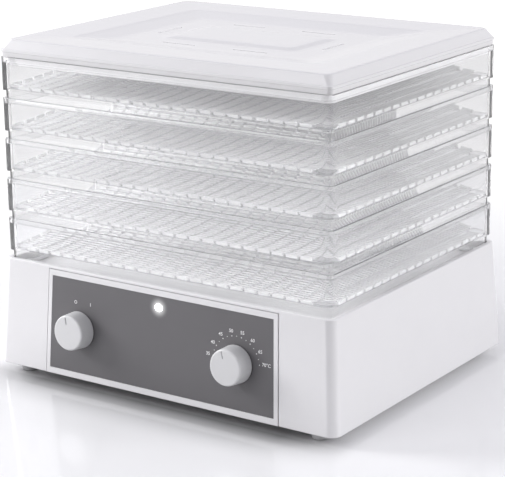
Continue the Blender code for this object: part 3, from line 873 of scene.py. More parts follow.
@dataclass(frozen=True)
class Layout:
    """Driving places and sizes in millimetres, read from the frame."""

    half_x: float
    half_y: float
    centre_y: float
    case_bottom: float
    case_top: float
    flare_bottom: float
    flare_top: float
    rims: tuple[float, ...]
    top: float

    @classmethod
    def read(cls) -> "Layout":
        """Measure the frame's boxes.

        Returns:
            The layout.
        """
        low, high = box_of("tray_1_frame")
        case_low, case_high = box_of("base_housing")
        rims = tuple(box_of(f"tray_{number}_frame")[1].z for number in range(1, TRAY_COUNT + 1))
        return cls(half_x=(high.x - low.x) / 2, half_y=(high.y - low.y) / 2, centre_y=(high.y + low.y) / 2,
                   case_bottom=case_low.z, case_top=case_high.z, flare_bottom=case_high.x - high.x,
                   flare_top=2.5, rims=rims, top=box_of("lid")[1].z)

    def offset(self, z: float) -> float:
        """How far the casing stands outside the trays at a height."""
        rise = (z - self.case_bottom) / (self.case_top - self.case_bottom)
        return self.flare_bottom - (self.flare_bottom - self.flare_top) * rise

    def tilt(self) -> float:
        """The casing's slope from upright, in radians."""
        return atan2(self.flare_bottom - self.flare_top, self.case_top - self.case_bottom)

    def centred(self, z: float = 0.0) -> Matrix:
        """The stack's own axis at a height."""
        return Matrix.Translation((0, self.centre_y, z))

    def panel(self) -> Matrix:
        """The panel's frame: X across, Z up the slope, -Y outwards."""
        foot = (0, self.centre_y - self.half_y - self.flare_bottom, self.case_bottom)
        return Matrix.Translation(foot) @ Matrix.Rotation(-self.tilt(), 4, "X")

    def loops(self, profile: Sequence[Sequence[float]], steps: int) -> list[Loop]:
        """Rounded rectangles from (inset, height, corner radius) points."""
        return [rounded_loop(self.half_x - inset, self.half_y - inset, max(radius, 0.3), z, steps)
                for inset, z, radius in profile]


# ---------------------------------------------------------------- clear trays


@dataclass
class Trays:
    """Five clear trays: a stepped wall that plugs into the rim below, and a fine grid floor."""

    layout: Layout
    finish: bpy.types.Material
    grid_finish: bpy.types.Material
    border_finish: bpy.types.Material
    rim_inset: float = 1.8
    rim_depth: float = 4.9
    wall: float = 2.6
    neck_outer: float = 2.3
    neck_inner: float = 4.1
    neck_depth: float = 39.5
    shelf: float = 27.0
    skirt: float = 28.5
    floor_top: float = 25.0
    floor_depth: float = 1.1
    columns: int = 24
    rows: int = 56
    side_blocks: int = 18
    border: float = 4.9
    bar_x: float = 2.4
    bar_y: float = 1.9
    chamfer: float = 0.2
    rod_gap: float = 3.0
    rod_width: float = 1.5
    rod_rise: float = 0.9
    block_rise: float = 1.0
    block_gap: float = 3.0
    block_height: float = 2.9
    corner: float = 9.0
    clearance: float = 0.15
    overlap: float = 0.05
    corner_steps: int = 6

    def wall_mesh(self) -> bpy.types.Mesh:
        """The wall, rim, skirt and neck as one ring.

        Returns:
            The mesh, with the rim's top at height 0.
        """
        profile = softened([
            (self.neck_outer, -self.neck_depth, 3.2, 0.3),
            (self.neck_outer, -self.skirt, 3.2, 0.4),
            (0.0, -self.skirt, 4.5, 0.5),
            (0.0, 0.0, 4.5, 0.5),
            (self.rim_inset, 0.0, 3.2, 0.4),
            (self.rim_inset, -self.rim_depth, 3.2, 0.4),
            (self.wall, -self.rim_depth, self.corner, 0.4),
            (self.wall, -self.shelf, self.corner, 0.3),
            (self.neck_inner, -self.shelf, 4.0, 0.4),
            (self.neck_inner, -self.neck_depth, 4.0, 0.3),
        ], closed=True, steps=3)
        shape = Shape()
        shape.loft(self.layout.loops(profile, 8), ring=True)
        return shape.mesh("tray_wall")

    def reach(self) -> tuple[float, float]:
        """How far the grid goes from the middle, along X and along Y."""
        return self.layout.half_x - self.border, self.layout.half_y - self.border

    def cell_size(self) -> tuple[float, float]:
        """Width and depth of one cell of the grid."""
        across, along = self.reach()
        return 2 * across / self.columns, 2 * along / self.rows

    def cell_mesh(self) -> bpy.types.Mesh:
        """One cell of the lattice: a flat ring around a slot, open where it meets the next cells.

        Returns:
            The mesh, around the cell's middle.
        """
        width, depth = (size / 2 for size in self.cell_size())
        slot_x, slot_y = width - self.bar_x / 2, depth - self.bar_y / 2
        levels = ((width, depth, -self.floor_depth), (slot_x, slot_y, -self.floor_depth),
                  (slot_x, slot_y, -self.chamfer), (slot_x + self.chamfer, slot_y + self.chamfer, 0.0),
                  (width, depth, 0.0))
        bm = bmesh.new()
        rows = [[bm.verts.new((side_x * x * MM, side_y * y * MM, z * MM))
                 for side_x, side_y in ((1, 1), (-1, 1), (-1, -1), (1, -1))] for x, y, z in levels]
        for low, high in zip(rows, rows[1:]):
            for i in range(4):
                j = (i + 1) % 4
                bm.faces.new((low[i], high[i], high[j], low[j]))
        bm.normal_update()
        top = max(bm.faces, key=lambda face: face.calc_center_median().z)
        if top.normal.z < 0:
            bmesh.ops.reverse_faces(bm, faces=bm.faces)
        mesh = bpy.data.meshes.new("lattice_cell")
        bm.to_mesh(mesh)
        bm.free()
        return mesh

    def rod_mesh(self) -> bpy.types.Mesh:
        """One short raised rod, between two ribs of the lattice.

        Returns:
            The mesh, around the rod's middle.
        """
        width, _ = self.cell_size()
        half = Vector(((width - self.rod_gap) / 2, self.rod_width / 2, self.rod_rise / 2))
        shape = Shape()
        shape.box(-half, half)
        shape.round_edges(set(shape.bm.edges), 0.3, segments=1)
        return shape.mesh("lattice_rod", smooth=50.0)

    def spread(self, name: str, cell: bpy.types.Mesh, level: float, slide: float,
               finish: bpy.types.Material) -> bpy.types.Object:
        """Repeat a shape once for each cell, short of the wall's round corners.

        Args:
            name: The new object's name.
            cell: The shape that is repeated.
            level: Its height under the rim.
            slide: How far it lies from its cell's middle along Y, in cells.
            finish: Its finish.

        Returns:
            The settled object.
        """
        width, depth = self.cell_size()
        pattern = Pattern(name, {"Cell Width": width * MM, "Cell Depth": depth * MM,
                                 "Columns": self.columns, "Rows": self.rows, "Level": level * MM,
                                 "Slide": slide}, finish)
        columns, rows = pattern.size("Columns"), pattern.size("Rows")
        row = ((pattern.index() + 0.5) / columns).floor()
        x = pattern.index() - row * columns - (columns - 1.0) / 2.0
        y = row - (rows - 1.0) / 2.0
        place = pattern.vector(x * pattern.size("Cell Width"),
                               (y + pattern.size("Slide")) * pattern.size("Cell Depth"),
                               pattern.size("Level"))
        last_column, last_rows = (self.columns - 1) / 2 - 0.6, (self.rows - 1) / 2 - 1.6
        keep = 1.0 - x.size().above(last_column) * y.size().above(last_rows)
        return pattern.grow_mesh(pattern.points(columns * rows, place), cell, keep=keep)

    def close_edges(self, lattice: bpy.types.Object) -> None:
        """Give the lattice its outer side faces.

        Args:
            lattice: The lattice, open all the way around.
        """
        bm = bmesh.new()
        bm.from_mesh(lattice.data)
        bmesh.ops.bridge_loops(bm, edges=[edge for edge in bm.edges if edge.is_boundary])
        bmesh.ops.recalc_face_normals(bm, faces=bm.faces)
        bm.to_mesh(lattice.data)
        bm.free()

    def gussets(self) -> bpy.types.Mesh:
        """Solid corners of the floor, where the grid stops short.

        Returns:
            The mesh of all four, around the tray's middle.
        """
        width, depth = self.cell_size()
        across, along = self.reach()
        inner_x, inner_y = across - width + self.overlap, along - 2 * depth + self.overlap
        inset, radius = self.wall + self.clearance, self.corner - self.clearance
        outer_x, outer_y = self.layout.half_x - inset, self.layout.half_y - inset
        angles = [step / self.corner_steps * pi / 2 for step in range(self.corner_steps + 1)]
        outline = [(inner_x, inner_y), (outer_x, inner_y),
                   *((outer_x - radius + radius * cos(angle), outer_y - radius + radius * sin(angle))
                     for angle in angles), (inner_x, outer_y)]
        foot = -self.floor_top - self.rod_rise - self.floor_depth
        shape = Shape()
        for side_x in (-1, 1):
            for side_y in (-1, 1):
                shape.loft([[Vector((side_x * x, side_y * y, z)) for x, y in outline]
                            for z in (foot, -self.floor_top)])
        return shape.mesh("tray_gussets", smooth=25.0)

    def block_mesh(self) -> bpy.types.Mesh:
        """One rounded block of the floor's border, across X.

        Returns:
            The mesh, around the block's middle.
        """
        width, _ = self.cell_size()
        half = Vector(((width - self.block_gap) / 2, (self.border - self.wall - 0.2) / 2,
                       self.block_height / 2))
        shape = Shape()
        shape.box(-half, half, 0.6)
        return shape.mesh("border_block", smooth=60.0)

    def blocks(self) -> bpy.types.Object:
        """Rounded blocks that join the grid to the wall, one for each cell along every side.

        Returns:
            The settled object.
        """
        width, _ = self.cell_size()
        middle = (self.border + self.wall) / 2
        level = -self.floor_top + self.block_rise - self.block_height / 2
        pattern = Pattern("tray_blocks", {"Pitch": width * MM, "Long Side": self.columns - 2,
                                          "Short Side": self.side_blocks,
                                          "Reach X": (self.layout.half_x - middle) * MM,
                                          "Reach Y": (self.layout.half_y - middle) * MM,
                                          "Level": level * MM}, self.border_finish)
        index, pitch = pattern.index(), pattern.size("Pitch")
        long_count, short_count = pattern.size("Long Side"), pattern.size("Short Side")
        on_short = index.above(long_count * 2.0 - 0.5)
        local = index - on_short * long_count * 2.0
        count = long_count + on_short * (short_count - long_count)
        far = local.above(count - 0.5)
        run = (local - far * count - (count - 1.0) / 2.0) * pitch
        side = far * 2.0 - 1.0
        x = (1.0 - on_short) * run + on_short * side * pattern.size("Reach X")
        y = on_short * run + (1.0 - on_short) * side * pattern.size("Reach Y")
        points = pattern.points((long_count + short_count) * 2.0,
                                pattern.vector(x, y, pattern.size("Level")))
        return pattern.grow_mesh(points, self.block_mesh(),
                                 rotation=pattern.vector(0.0, 0.0, on_short * (pi / 2)))

    def build(self) -> None:
        """Make one tray and place a copy of it for each."""
        top = -self.floor_top - self.rod_rise
        wall = add_object("tray_wall", self.wall_mesh(), self.finish)
        lattice = self.spread("tray_lattice", self.cell_mesh(), top, 0.0, self.grid_finish)
        self.close_edges(lattice)
        grid = joined("tray_grid", [lattice, add_object("tray_gussets", self.gussets())], self.grid_finish)
        rods = self.spread("tray_rods", self.rod_mesh(), top + self.rod_rise / 2 + self.overlap, 0.5,
                           self.border_finish)
        border = joined("tray_border", [self.blocks(), rods], self.border_finish)
        for number, rim in enumerate(self.layout.rims, start=1):
            body = f"tray_{number}"
            for pattern, label, nodes in ((wall, "walls", ["frame"]), (grid, "grid", ["floor"]),
                                          (border, "border", [])):
                mesh = pattern.data.copy()
                mesh.transform(Matrix.Translation(Vector((0, self.layout.centre_y, rim)) * MM))
                piece = add_object(f"{body}_{label}", mesh)
                install(piece, body, Slot.CLEAR, *(f"{body}_{node}" for node in nodes))
        for pattern in (wall, grid, border):
            bpy.data.objects.remove(pattern, do_unlink=True)


# ---------------------------------------------------------------- lid


@dataclass
class Lid:
    """White lid: stepped edge, dished top with a raised middle, and six air slits."""

    layout: Layout
    finish: bpy.types.Material
    skin: float = 2.2
    slit: float = 1.5
    slit_x: float = 84.0
    slit_y: float = 52.0
    slit_half: float = 17.0
    slit_pair: float = 36.0
    slit_span: tuple[float, float] = (-4.0, 20.0)

    def profile(self) -> Section:
        """The lid's section, from the middle's underside to its top.

        Returns:
            (inset, height over the top rim, corner radius) points.
        """
        rise = self.layout.top - self.layout.rims[-1]
        skin = self.skin
        return softened([
            (108.0, rise - 3.0 - skin, 6, 0.0),
            (98.0, rise - 4.7 - skin, 8, 2.0),
            (70.0, rise - 4.7 - skin, 8, 3.0),
            (43.0, rise - 1.6 - skin, 9, 3.0),
            (8.4, rise - skin, 6, 1.0),
            (5.6, 4.0, 5.6, 1.0),
            (5.6, -7.1, 5.6, 0.4),
            (3.4, -7.1, 6.2, 0.6),
            (3.4, 0.3, 6.2, 0.3),
            (0.9, 0.3, 4.2, 0.3),
            (0.7, 4.0, 4.2, 0.3),
            (0.0, 4.3, 4.5, 0.35),
            (0.0, 6.5, 4.5, 0.35),
            (0.9, 6.9, 4.4, 0.3),
            (5.4, rise - 0.1, 6.0, 1.5),
            (8.0, rise, 7.0, 1.0),
            (41.0, rise - 1.3, 9.0, 1.6),
            (45.5, rise - 2.0, 9.0, 1.6),
            (68.0, rise - 4.6, 8.0, 4.0),
            (96.5, rise - 4.7, 8.0, 2.5),
            (104.0, rise - 3.1, 7.0, 2.5),
            (112.0, rise - 3.0, 5.0, 0.0),
        ], closed=False, steps=4)

    def cutters(self) -> bpy.types.Mesh:
        """The air slits as solids.

        Returns:
            One mesh of all six.
        """
        shape = Shape()
        half, width = self.slit_half, self.slit / 2
        low, high = self.slit_span
        for side in (-1, 1):
            shape.box((side * self.slit_x - width, -half, low), (side * self.slit_x + width, half, high))
            for x in (-self.slit_pair, self.slit_pair):
                y = side * self.slit_y
                shape.box((x - half, y - width, low), (x + half, y + width, high))
        return shape.mesh("lid_slits", self.layout.centred(self.layout.rims[-1]))

    def build(self) -> None:
        """Make the lid."""
        shape = Shape()
        shape.loft(self.layout.loops(self.profile(), 8))
        mesh = shape.mesh("lid_shell", self.layout.centred(self.layout.rims[-1]))
        lid = add_object("lid_shell", mesh, self.finish)
        carve(lid, [self.cutters()])
        even_light(lid)
        install(lid, "lid", Slot.WHITE, "lid")


# ---------------------------------------------------------------- base


@dataclass
class Casing:
    """Flared white base: its wall and tray seat, feet, deck grille and cord inlet."""

    layout: Layout
    finishes: dict[Slot, bpy.types.Material]
    wall: float = 2.5
    seat: float = 8.0
    rim_inset: float = 1.8
    rim_depth: float = 4.9
    panel_top: float = 117.6
    panel_bottom: float = 120.6
    panel_height: float = 91.7
    foot_x: float = 151.0
    foot_y: float = 126.5
    grille_radius: float = 82.0
    grille_ring: float = 9.0
    slats: int = 17
    slat_fill: float = 0.5
    slat_hold: float = 4.0
    inlet_height: float = 30.0

    def wall_profile(self) -> Section:
        """The wall's section.

        Returns:
            (inset, height, corner radius) points, all the way around.
        """
        place = self.layout
        ledge = place.case_top - self.rim_depth
        shoulder = ledge - self.wall
        return softened([
            (-place.offset(place.case_bottom), place.case_bottom, 9.0, 0.9),
            (-place.offset(place.case_top), place.case_top, 7.5, 1.3),
            (self.rim_inset, place.case_top, 3.4, 0.5),
            (self.rim_inset, ledge, 3.0, 0.4),
            (self.seat, ledge, 4.0, 0.3),
            (self.seat, shoulder, 4.0, 0.3),
            (self.wall - place.offset(shoulder), shoulder, 5.0, 0.5),
            (self.wall - place.offset(place.case_bottom), place.case_bottom, 6.5, 0.3),
        ], closed=True, steps=4)

    def build_wall(self) -> None:
        """The flared wall with the panel's opening."""
        shape = Shape()
        shape.loft(self.layout.loops(self.wall_profile(), 10), ring=True)
        white = self.finishes[Slot.WHITE]
        wall = add_object("casing_wall", shape.mesh("casing_wall", self.layout.centred()), white)
        opening = Shape()
        low, high = -8.0, self.panel_height + 0.6
        slope = (self.panel_bottom - self.panel_top) / self.panel_height
        outline = [(side * (self.panel_bottom - slope * z + (0.45 if side > 0 else -0.3)), z)
                   for side, z in ((-1, low), (1, low), (1, high), (-1, high))]
        opening.prism(outline, -6.0, self.wall + 0.35)
        carve(wall, [opening.mesh("panel_opening", self.layout.panel())])
        even_light(wall)
        install(wall, "base", Slot.WHITE, "base_housing")

    def build_feet(self) -> None:
        """Four round feet with rolled edges."""
        top = self.layout.case_bottom - 0.3
        profile = softened([(0, 0, 0), (5.6, 0, 0), (6.2, 0.15, 0.3), (6.9, 1.2, 0.5), (7.5, top, 0.3),
                            (0, top, 0)], closed=False)
        for end, side_y in (("front", -1), ("rear", 1)):
            for side, side_x in (("left", -1), ("right", 1)):
                node = f"foot_{end}_{side}"
                shape = Shape()
                shape.turned(profile, 40)
                at = Matrix.Translation((side_x * self.foot_x,
                                         self.layout.centre_y + side_y * self.foot_y, 0))
                foot = add_object(f"{node}_pad", shape.mesh(f"{node}_pad", at), self.finishes[Slot.RUBBER])
                install(foot, "base", Slot.RUBBER, node)

    def build_grille(self) -> None:
        """Round grille over the duct: a ring filled with slats that follow its circle."""
        low, high = box_of("air_grille")
        inner = self.grille_radius - self.grille_ring
        pitch = 2 * inner / self.slats
        finish = self.finishes[Slot.WHITE]
        pattern = Pattern("grille_slats", {"Count": self.slats, "Pitch": pitch * MM, "Reach": inner * MM,
                                           "Width": self.slat_fill * pitch * MM,
                                           "Height": (high.z - low.z) * MM,
                                           "Level": (high.z + low.z) / 2 * MM,
                                           "Middle": self.layout.centre_y * MM}, finish)
        y = (pattern.index() - (pattern.size("Count") - 1.0) / 2.0) * pattern.size("Pitch")
        at = pattern.vector(0.0, y + pattern.size("Middle"), pattern.size("Level"))
        points = pattern.points(pattern.size("Count"), at)
        bar = pattern.maker.node("GeometryNodeMeshCube", None, {"Size": (1, 1, 1)}).outputs["Mesh"]
        half = (pattern.size("Reach") ** 2.0 - y ** 2.0).root()
        scale = pattern.vector(half * 2.0 + self.slat_hold * MM, pattern.size("Width"),
                               pattern.size("Height"))
        slats = pattern.grow(points, bar, scale=scale)
        ring = Shape()
        outer = softened([(inner, low.z, 0.3), (self.grille_radius, low.z, 0.3),
                          (self.grille_radius, high.z, 1.0), (inner, high.z, 0.6)], closed=True)
        ring.turned(outer, 96, self.layout.centred())
        whole = joined("deck_grille", [slats, add_object("grille_ring", ring.mesh("grille_ring"))], finish)
        install(whole, "base", Slot.WHITE, "air_grille")

    def build_inlet(self) -> None:
        """Ribbed bush in the rear wall."""
        low, high = box_of("cord_inlet")
        face = self.layout.centre_y + self.layout.half_y + self.layout.offset(self.inlet_height)
        ribs = [(6.9 - 0.3 * step + (0.0 if step % 2 else 0.5), 3.6 + 0.8 * step, 0.15)
                for step in range(11)]
        profile = softened([(4.2, -6.0, 0.2), (6.6, -6.0, 0.2), (6.6, 0.3, 0.1), (9.0, 0.3, 0.3),
                            (9.0, 2.2, 0.6), (7.4, 3.0, 0.3), *ribs, (4.2, 12.0, 0.2)], closed=True)
        shape = Shape()
        shape.turned(profile, 40)
        at = (Matrix.Translation(((low.x + high.x) / 2, face, self.inlet_height))
              @ Matrix.Rotation(self.layout.tilt() - pi / 2, 4, "X"))
        bush = add_object("cord_bush", shape.mesh("cord_bush", at), self.finishes[Slot.RUBBER])
        install(bush, "base", Slot.RUBBER, "cord_inlet")

    def build(self) -> None:
        """Make every piece of the casing."""
        self.build_wall()
        self.build_feet()
        self.build_grille()
        self.build_inlet()


# ---------------------------------------------------------------- control panel


@dataclass
class Panel:
    """Sloping front: white surround, satin grey panel, its marks and lamp, and two knobs."""

    layout: Layout
    finishes: dict[Slot, bpy.types.Material]
    top_half: float = 117.0
    bottom_half: float = 120.0
    height: float = 91.7
    thickness: float = 2.4
    grey_top: float = 112.9
    grey_bottom: float = 115.6
    grey_low: float = 5.6
    grey_high: float = 86.5
    knob_height: float = 43.8
    power_x: float = -83.5
    scale_x: float = 78.3
    lamp_height: float = 77.0
    lamp_radius: float = 3.6
    power_turn: float = -12.0
    scale_turn: float = -17.0
    knob_radius: float = 16.0
    knob_depth: float = 15.5
    grey_sink: float = 0.1
    mark_lift: float = 0.04
    scale_step: float = 23.5
    scale_first: float = -82.3
    scale_from: int = 35
    scale_jump: int = 5
    scale_count: int = 8
    dot_ring: float = 22.9
    mark_ring: float = 27.0
    mark_size: float = 2.9
    end_gap: float = 0.9
    unit_gap: float = 1.6
    font_scale: float = 1.38
    ink_half: float = 0.02
    ink_spread: float = 0.05
    weld: float = 0.004
    large_dot: float = 0.46
    small_dot: float = 0.34
    dot_depth: float = 0.06
    switch_marks: tuple[tuple[str, float, float], ...] = (("O", 2.9, -4.2), ("I", 3.0, 11.8))
    switch_mark_height: float = 67.1
    hole_radius: float = 5.0
    pocket_gap: float = 0.25

    def outward(self, x: float, z: float, turn: float = 0.0) -> Matrix:
        """A place on the panel whose own +Z comes straight out, +Y up the slope.

        Args:
            x: Across from the middle.
            z: Up the slope.
            turn: Clockwise turn in degrees, seen from the front.

        Returns:
            The place.
        """
        return (self.layout.panel() @ Matrix.Translation((x, 0, z)) @ Matrix.Rotation(radians(turn), 4, "Y")
                @ Matrix.Rotation(pi / 2, 4, "X"))

    def printed(self) -> Matrix:
        """From the front's plane to the marks on the sunk grey panel."""
        return Matrix.Translation((0, 0, self.mark_lift - self.grey_sink))

    def lamp(self) -> Vector:
        """The lamp's middle, in metres."""
        return self.outward(0, self.lamp_height) @ Vector((0, 0, 0.2)) * MM

    def hole_cutters(self) -> list[bpy.types.Mesh]:
        """Solids for the spindle holes and the lamp's hole.

        Returns:
            One mesh for each hole.
        """
        made = []
        for x, z, radius in ((self.power_x, self.knob_height, self.hole_radius),
                             (self.scale_x, self.knob_height, self.hole_radius),
                             (0.0, self.lamp_height, self.lamp_radius + 0.2)):
            shape = Shape()
            shape.turned([(0, -9), (radius, -9), (radius, 9), (0, 9)], 48, self.outward(x, z))
            made.append(shape.mesh("panel_hole"))
        return made

    def build_plates(self) -> None:
        """The white surround with its pocket, and the grey panel that lies in it."""
        outer = [(-self.bottom_half, 0.0), (self.bottom_half, 0.0), (self.top_half, self.height),
                 (-self.top_half, self.height)]
        inner = [(-self.grey_bottom, self.grey_low), (self.grey_bottom, self.grey_low),
                 (self.grey_top, self.grey_high), (-self.grey_top, self.grey_high)]
        gap, waist = self.pocket_gap, self.height / 2
        grown = [(x + (gap if x > 0 else -gap), z + (gap if z > waist else -gap)) for x, z in inner]
        surround = Shape()
        surround.prism(outer, 0.0, self.thickness, 0.35)
        place = self.layout.panel()
        frame_piece = add_object("panel_surround", surround.mesh("panel_surround", place),
                                 self.finishes[Slot.WHITE])
        pocket = Shape()
        pocket.prism(grown, -2.0, 1.1)
        carve(frame_piece, [pocket.mesh("pocket", place), *self.hole_cutters()])
        even_light(frame_piece)
        install(frame_piece, "base", Slot.WHITE, "control_bezel")
        plate = Shape()
        plate.prism(inner, self.grey_sink, 0.8, 0.12)
        grey = add_object("grey_panel", plate.mesh("grey_panel", place), self.finishes[Slot.GREY])
        carve(grey, self.hole_cutters())
        even_light(grey)
        install(grey, "base", Slot.GREY, "control_fascia")

    def build_lamp(self) -> None:
        """Domed lens of the lamp."""
        profile = softened([(0, -4.0, 0), (3.6, -4.0, 0.2), (3.6, -0.3, 0.3), (3.1, 0.45, 0.5),
                            (1.6, 0.85, 0.5), (0, 0.95, 0)], closed=False)
        shape = Shape()
        shape.turned(profile, 48, self.outward(0, self.lamp_height))
        lens = add_object("lamp_lens", shape.mesh("lamp_lens"), self.finishes[Slot.LAMP])
        install(lens, "base", Slot.LAMP, "indicator_lens")

    def build_knob(self, name: str, x: float, turn: float) -> None:
        """A tapered knob with a sunk pointer line.

        Args:
            name: Its CAD node and body.
            x: Its place across the panel.
            turn: Where its pointer stands, clockwise from the top, in degrees.
        """
        face = self.knob_depth
        profile = softened([(0, 11.2, 0), (3.3, 11.2, 0.2), (3.3, 1.6, 0.2), (6.0, 1.6, 0.2),
                            (6.0, 12.4, 0.2), (13.2, 12.4, 0.4), (14.0, 0.6, 0.2),
                            (self.knob_radius, 0.6, 0.4), (self.knob_radius - 0.9, face - 0.9, 0.6),
                            (self.knob_radius - 1.9, face, 0.9), (0, face - 0.25, 0)], closed=False)
        shape = Shape()
        place = self.outward(x, self.knob_height, turn)
        shape.turned(profile, 72, place)
        knob = add_object(f"{name}_cap", shape.mesh(f"{name}_cap"), self.finishes[Slot.KNOB])
        groove = Shape()
        groove.box((-0.55, 7.4, face - 0.9), (0.55, 13.4, face + 2.0))
        carve(knob, [groove.mesh("pointer", place)])
        even_light(knob)
        install(knob, name, Slot.KNOB, name)

    def letters(self, text: str, size: float, x: float, z: float) -> bpy.types.Object:
        """Generic numerals or letters printed on the panel.

        Args:
            text: What they say.
            size: Their height in millimetres.
            x: Their middle, across the panel.
            z: Their middle, up the slope.

        Returns:
            A mesh object at the origin.
        """
        curve = bpy.data.curves.new(f"mark_{text}", "FONT")
        curve.body = text
        curve.size = size * self.font_scale
        curve.extrude = self.ink_half
        curve.offset = self.ink_spread
        curve.align_x = "CENTER"
        curve.align_y = "CENTER"
        curve.resolution_u = 4
        thing = bpy.data.objects.new(curve.name, curve)
        bpy.context.scene.collection.objects.link(thing)
        depsgraph = bpy.context.evaluated_depsgraph_get()
        mesh = bpy.data.meshes.new_from_object(thing.evaluated_get(depsgraph), depsgraph=depsgraph)
        bpy.data.objects.remove(thing, do_unlink=True)
        bm = bmesh.new()
        bm.from_mesh(mesh)
        bmesh.ops.remove_doubles(bm, verts=bm.verts, dist=self.weld)
        bmesh.ops.dissolve_degenerate(bm, edges=bm.edges, dist=self.weld)
        bmesh.ops.recalc_face_normals(bm, faces=bm.faces)
        bm.to_mesh(mesh)
        bm.free()
        mesh.transform(Matrix.Scale(MM, 4) @ self.outward(x, z) @ self.printed())
        return add_object(f"mark_{text}", mesh)

    def dots(self) -> bpy.types.Object:
        """The dots around the thermostat knob, larger at each numbered step.

        Returns:
            The settled object.
        """
        pattern = Pattern("scale_dots", {"Count": 2 * self.scale_count - 1,
                                         "First": radians(self.scale_first),
                                         "Step": radians(self.scale_step / 2), "Ring": self.dot_ring * MM,
                                         "Large": self.large_dot * MM, "Small": self.small_dot * MM},
                          self.finishes[Slot.KNOB])
        maker = pattern.maker
        angle = pattern.size("First") + pattern.index() * pattern.size("Step")
        at = pattern.vector(angle.sine() * pattern.size("Ring"), angle.cosine() * pattern.size("Ring"), 0.0)
        points = pattern.points(pattern.size("Count"), at)
        dot = maker.node("GeometryNodeMeshCylinder", {"fill_type": "NGON"},
                         {"Vertices": 16, "Radius": 1.0, "Depth": self.dot_depth * MM}).outputs["Mesh"]
        odd = pattern.index().remainder(2.0)
        radius = pattern.size("Large") + odd * (pattern.size("Small") - pattern.size("Large"))
        made = pattern.grow(points, dot, scale=pattern.vector(radius, radius, 1.0))
        place = self.outward(self.scale_x, self.knob_height) @ self.printed()
        made.data.transform(Matrix.Scale(MM, 4) @ place @ Matrix.Scale(1 / MM, 4))
        return made

    def build_marks(self) -> None:
        """Printed marks: off and on over the power knob, and the thermostat's scale."""
        marks = [self.letters(text, size, self.power_x + x, self.switch_mark_height)
                 for text, size, x in self.switch_marks]
        marks.append(self.dots())
        last = self.scale_count - 1
        for step in range(self.scale_count):
            angle = radians(self.scale_first + step * self.scale_step)
            reach = (self.mark_ring + self.end_gap * (step in (0, last))
                     + self.unit_gap * (step == last))
            text = f"{self.scale_from + self.scale_jump * step}" + ("°C" if step == last else "")
            marks.append(self.letters(text, self.mark_size, self.scale_x + reach * sin(angle),
                                      self.knob_height + reach * cos(angle)))
        pale = Moulded("mark_ink", (0.86, 0.86, 0.86), 0.5, 0.03, 1800.0, 0.02).build()
        whole = joined("panel_marks", marks, pale)
        install(whole, "base", Slot.KNOB)

    def build(self) -> None:
        """Make every piece of the panel."""
        self.build_plates()
        self.build_lamp()
        self.build_knob("power_knob", self.power_x, self.power_turn)
        self.build_knob("thermostat_knob", self.scale_x, self.scale_turn)
        self.build_marks()


# ---------------------------------------------------------------- stage and camera


@dataclass(frozen=True)
class Viewpoint:
    """A camera placed by angles about a point, in widths of the trays."""

    azimuth: float = 34.7088
    elevation: float = 15.6711
    roll: float = -0.7465
    distance: float = 4.9063
    across: float = 0.0023
    up: float = -0.0837
    lens: float = 132.96

    def build(self, layout: Layout) -> None:
        """Make the scene's camera.

        Args:
            layout: The object's layout.
        """
        turn, tilt, roll = (radians(angle) for angle in (self.azimuth, self.elevation, self.roll))
        back = Vector((sin(turn) * cos(tilt), -cos(turn) * cos(tilt), sin(tilt)))
        level = Vector((cos(turn), sin(turn), 0))
        above = back.cross(level)
        right = cos(roll) * level + sin(roll) * above
        upward = back.cross(right)
        width = 2 * layout.half_x * MM
        base = Vector((0, layout.centre_y * MM, layout.case_bottom * MM + 0.4 * width))
        target = base + (self.across * right + self.up * upward) * width
        data = bpy.data.cameras.new("view")
        data.lens = self.lens
        data.sensor_width = 36.0
        data.clip_end = 50.0
        camera = bpy.data.objects.new("view", data)
        turned = Matrix((right, upward, back)).transposed().to_4x4()
        camera.matrix_world = Matrix.Translation(target + back * self.distance * width) @ turned
        bpy.context.scene.collection.objects.link(camera)
        bpy.context.scene.camera = camera


@dataclass(frozen=True)
class Softbox:
    """A square area light that points at the object."""

    name: str
    azimuth: float
    elevation: float
    distance: float
    size: float
    power: float

    def build(self) -> None:
        """Make the light."""
        turn, rise = radians(self.azimuth), radians(self.elevation)
        aim = Vector((0, 0, 0.15))
        outward = Vector((sin(turn) * cos(rise), -cos(turn) * cos(rise), sin(rise)))
        data = bpy.data.lights.new(self.name, "AREA")
        data.size = self.size
        data.energy = self.power
        light = bpy.data.objects.new(self.name, data)
        light.location = aim + outward * self.distance
        light.rotation_euler = outward.to_track_quat("Z", "Y").to_euler()
        bpy.context.scene.collection.objects.link(light)


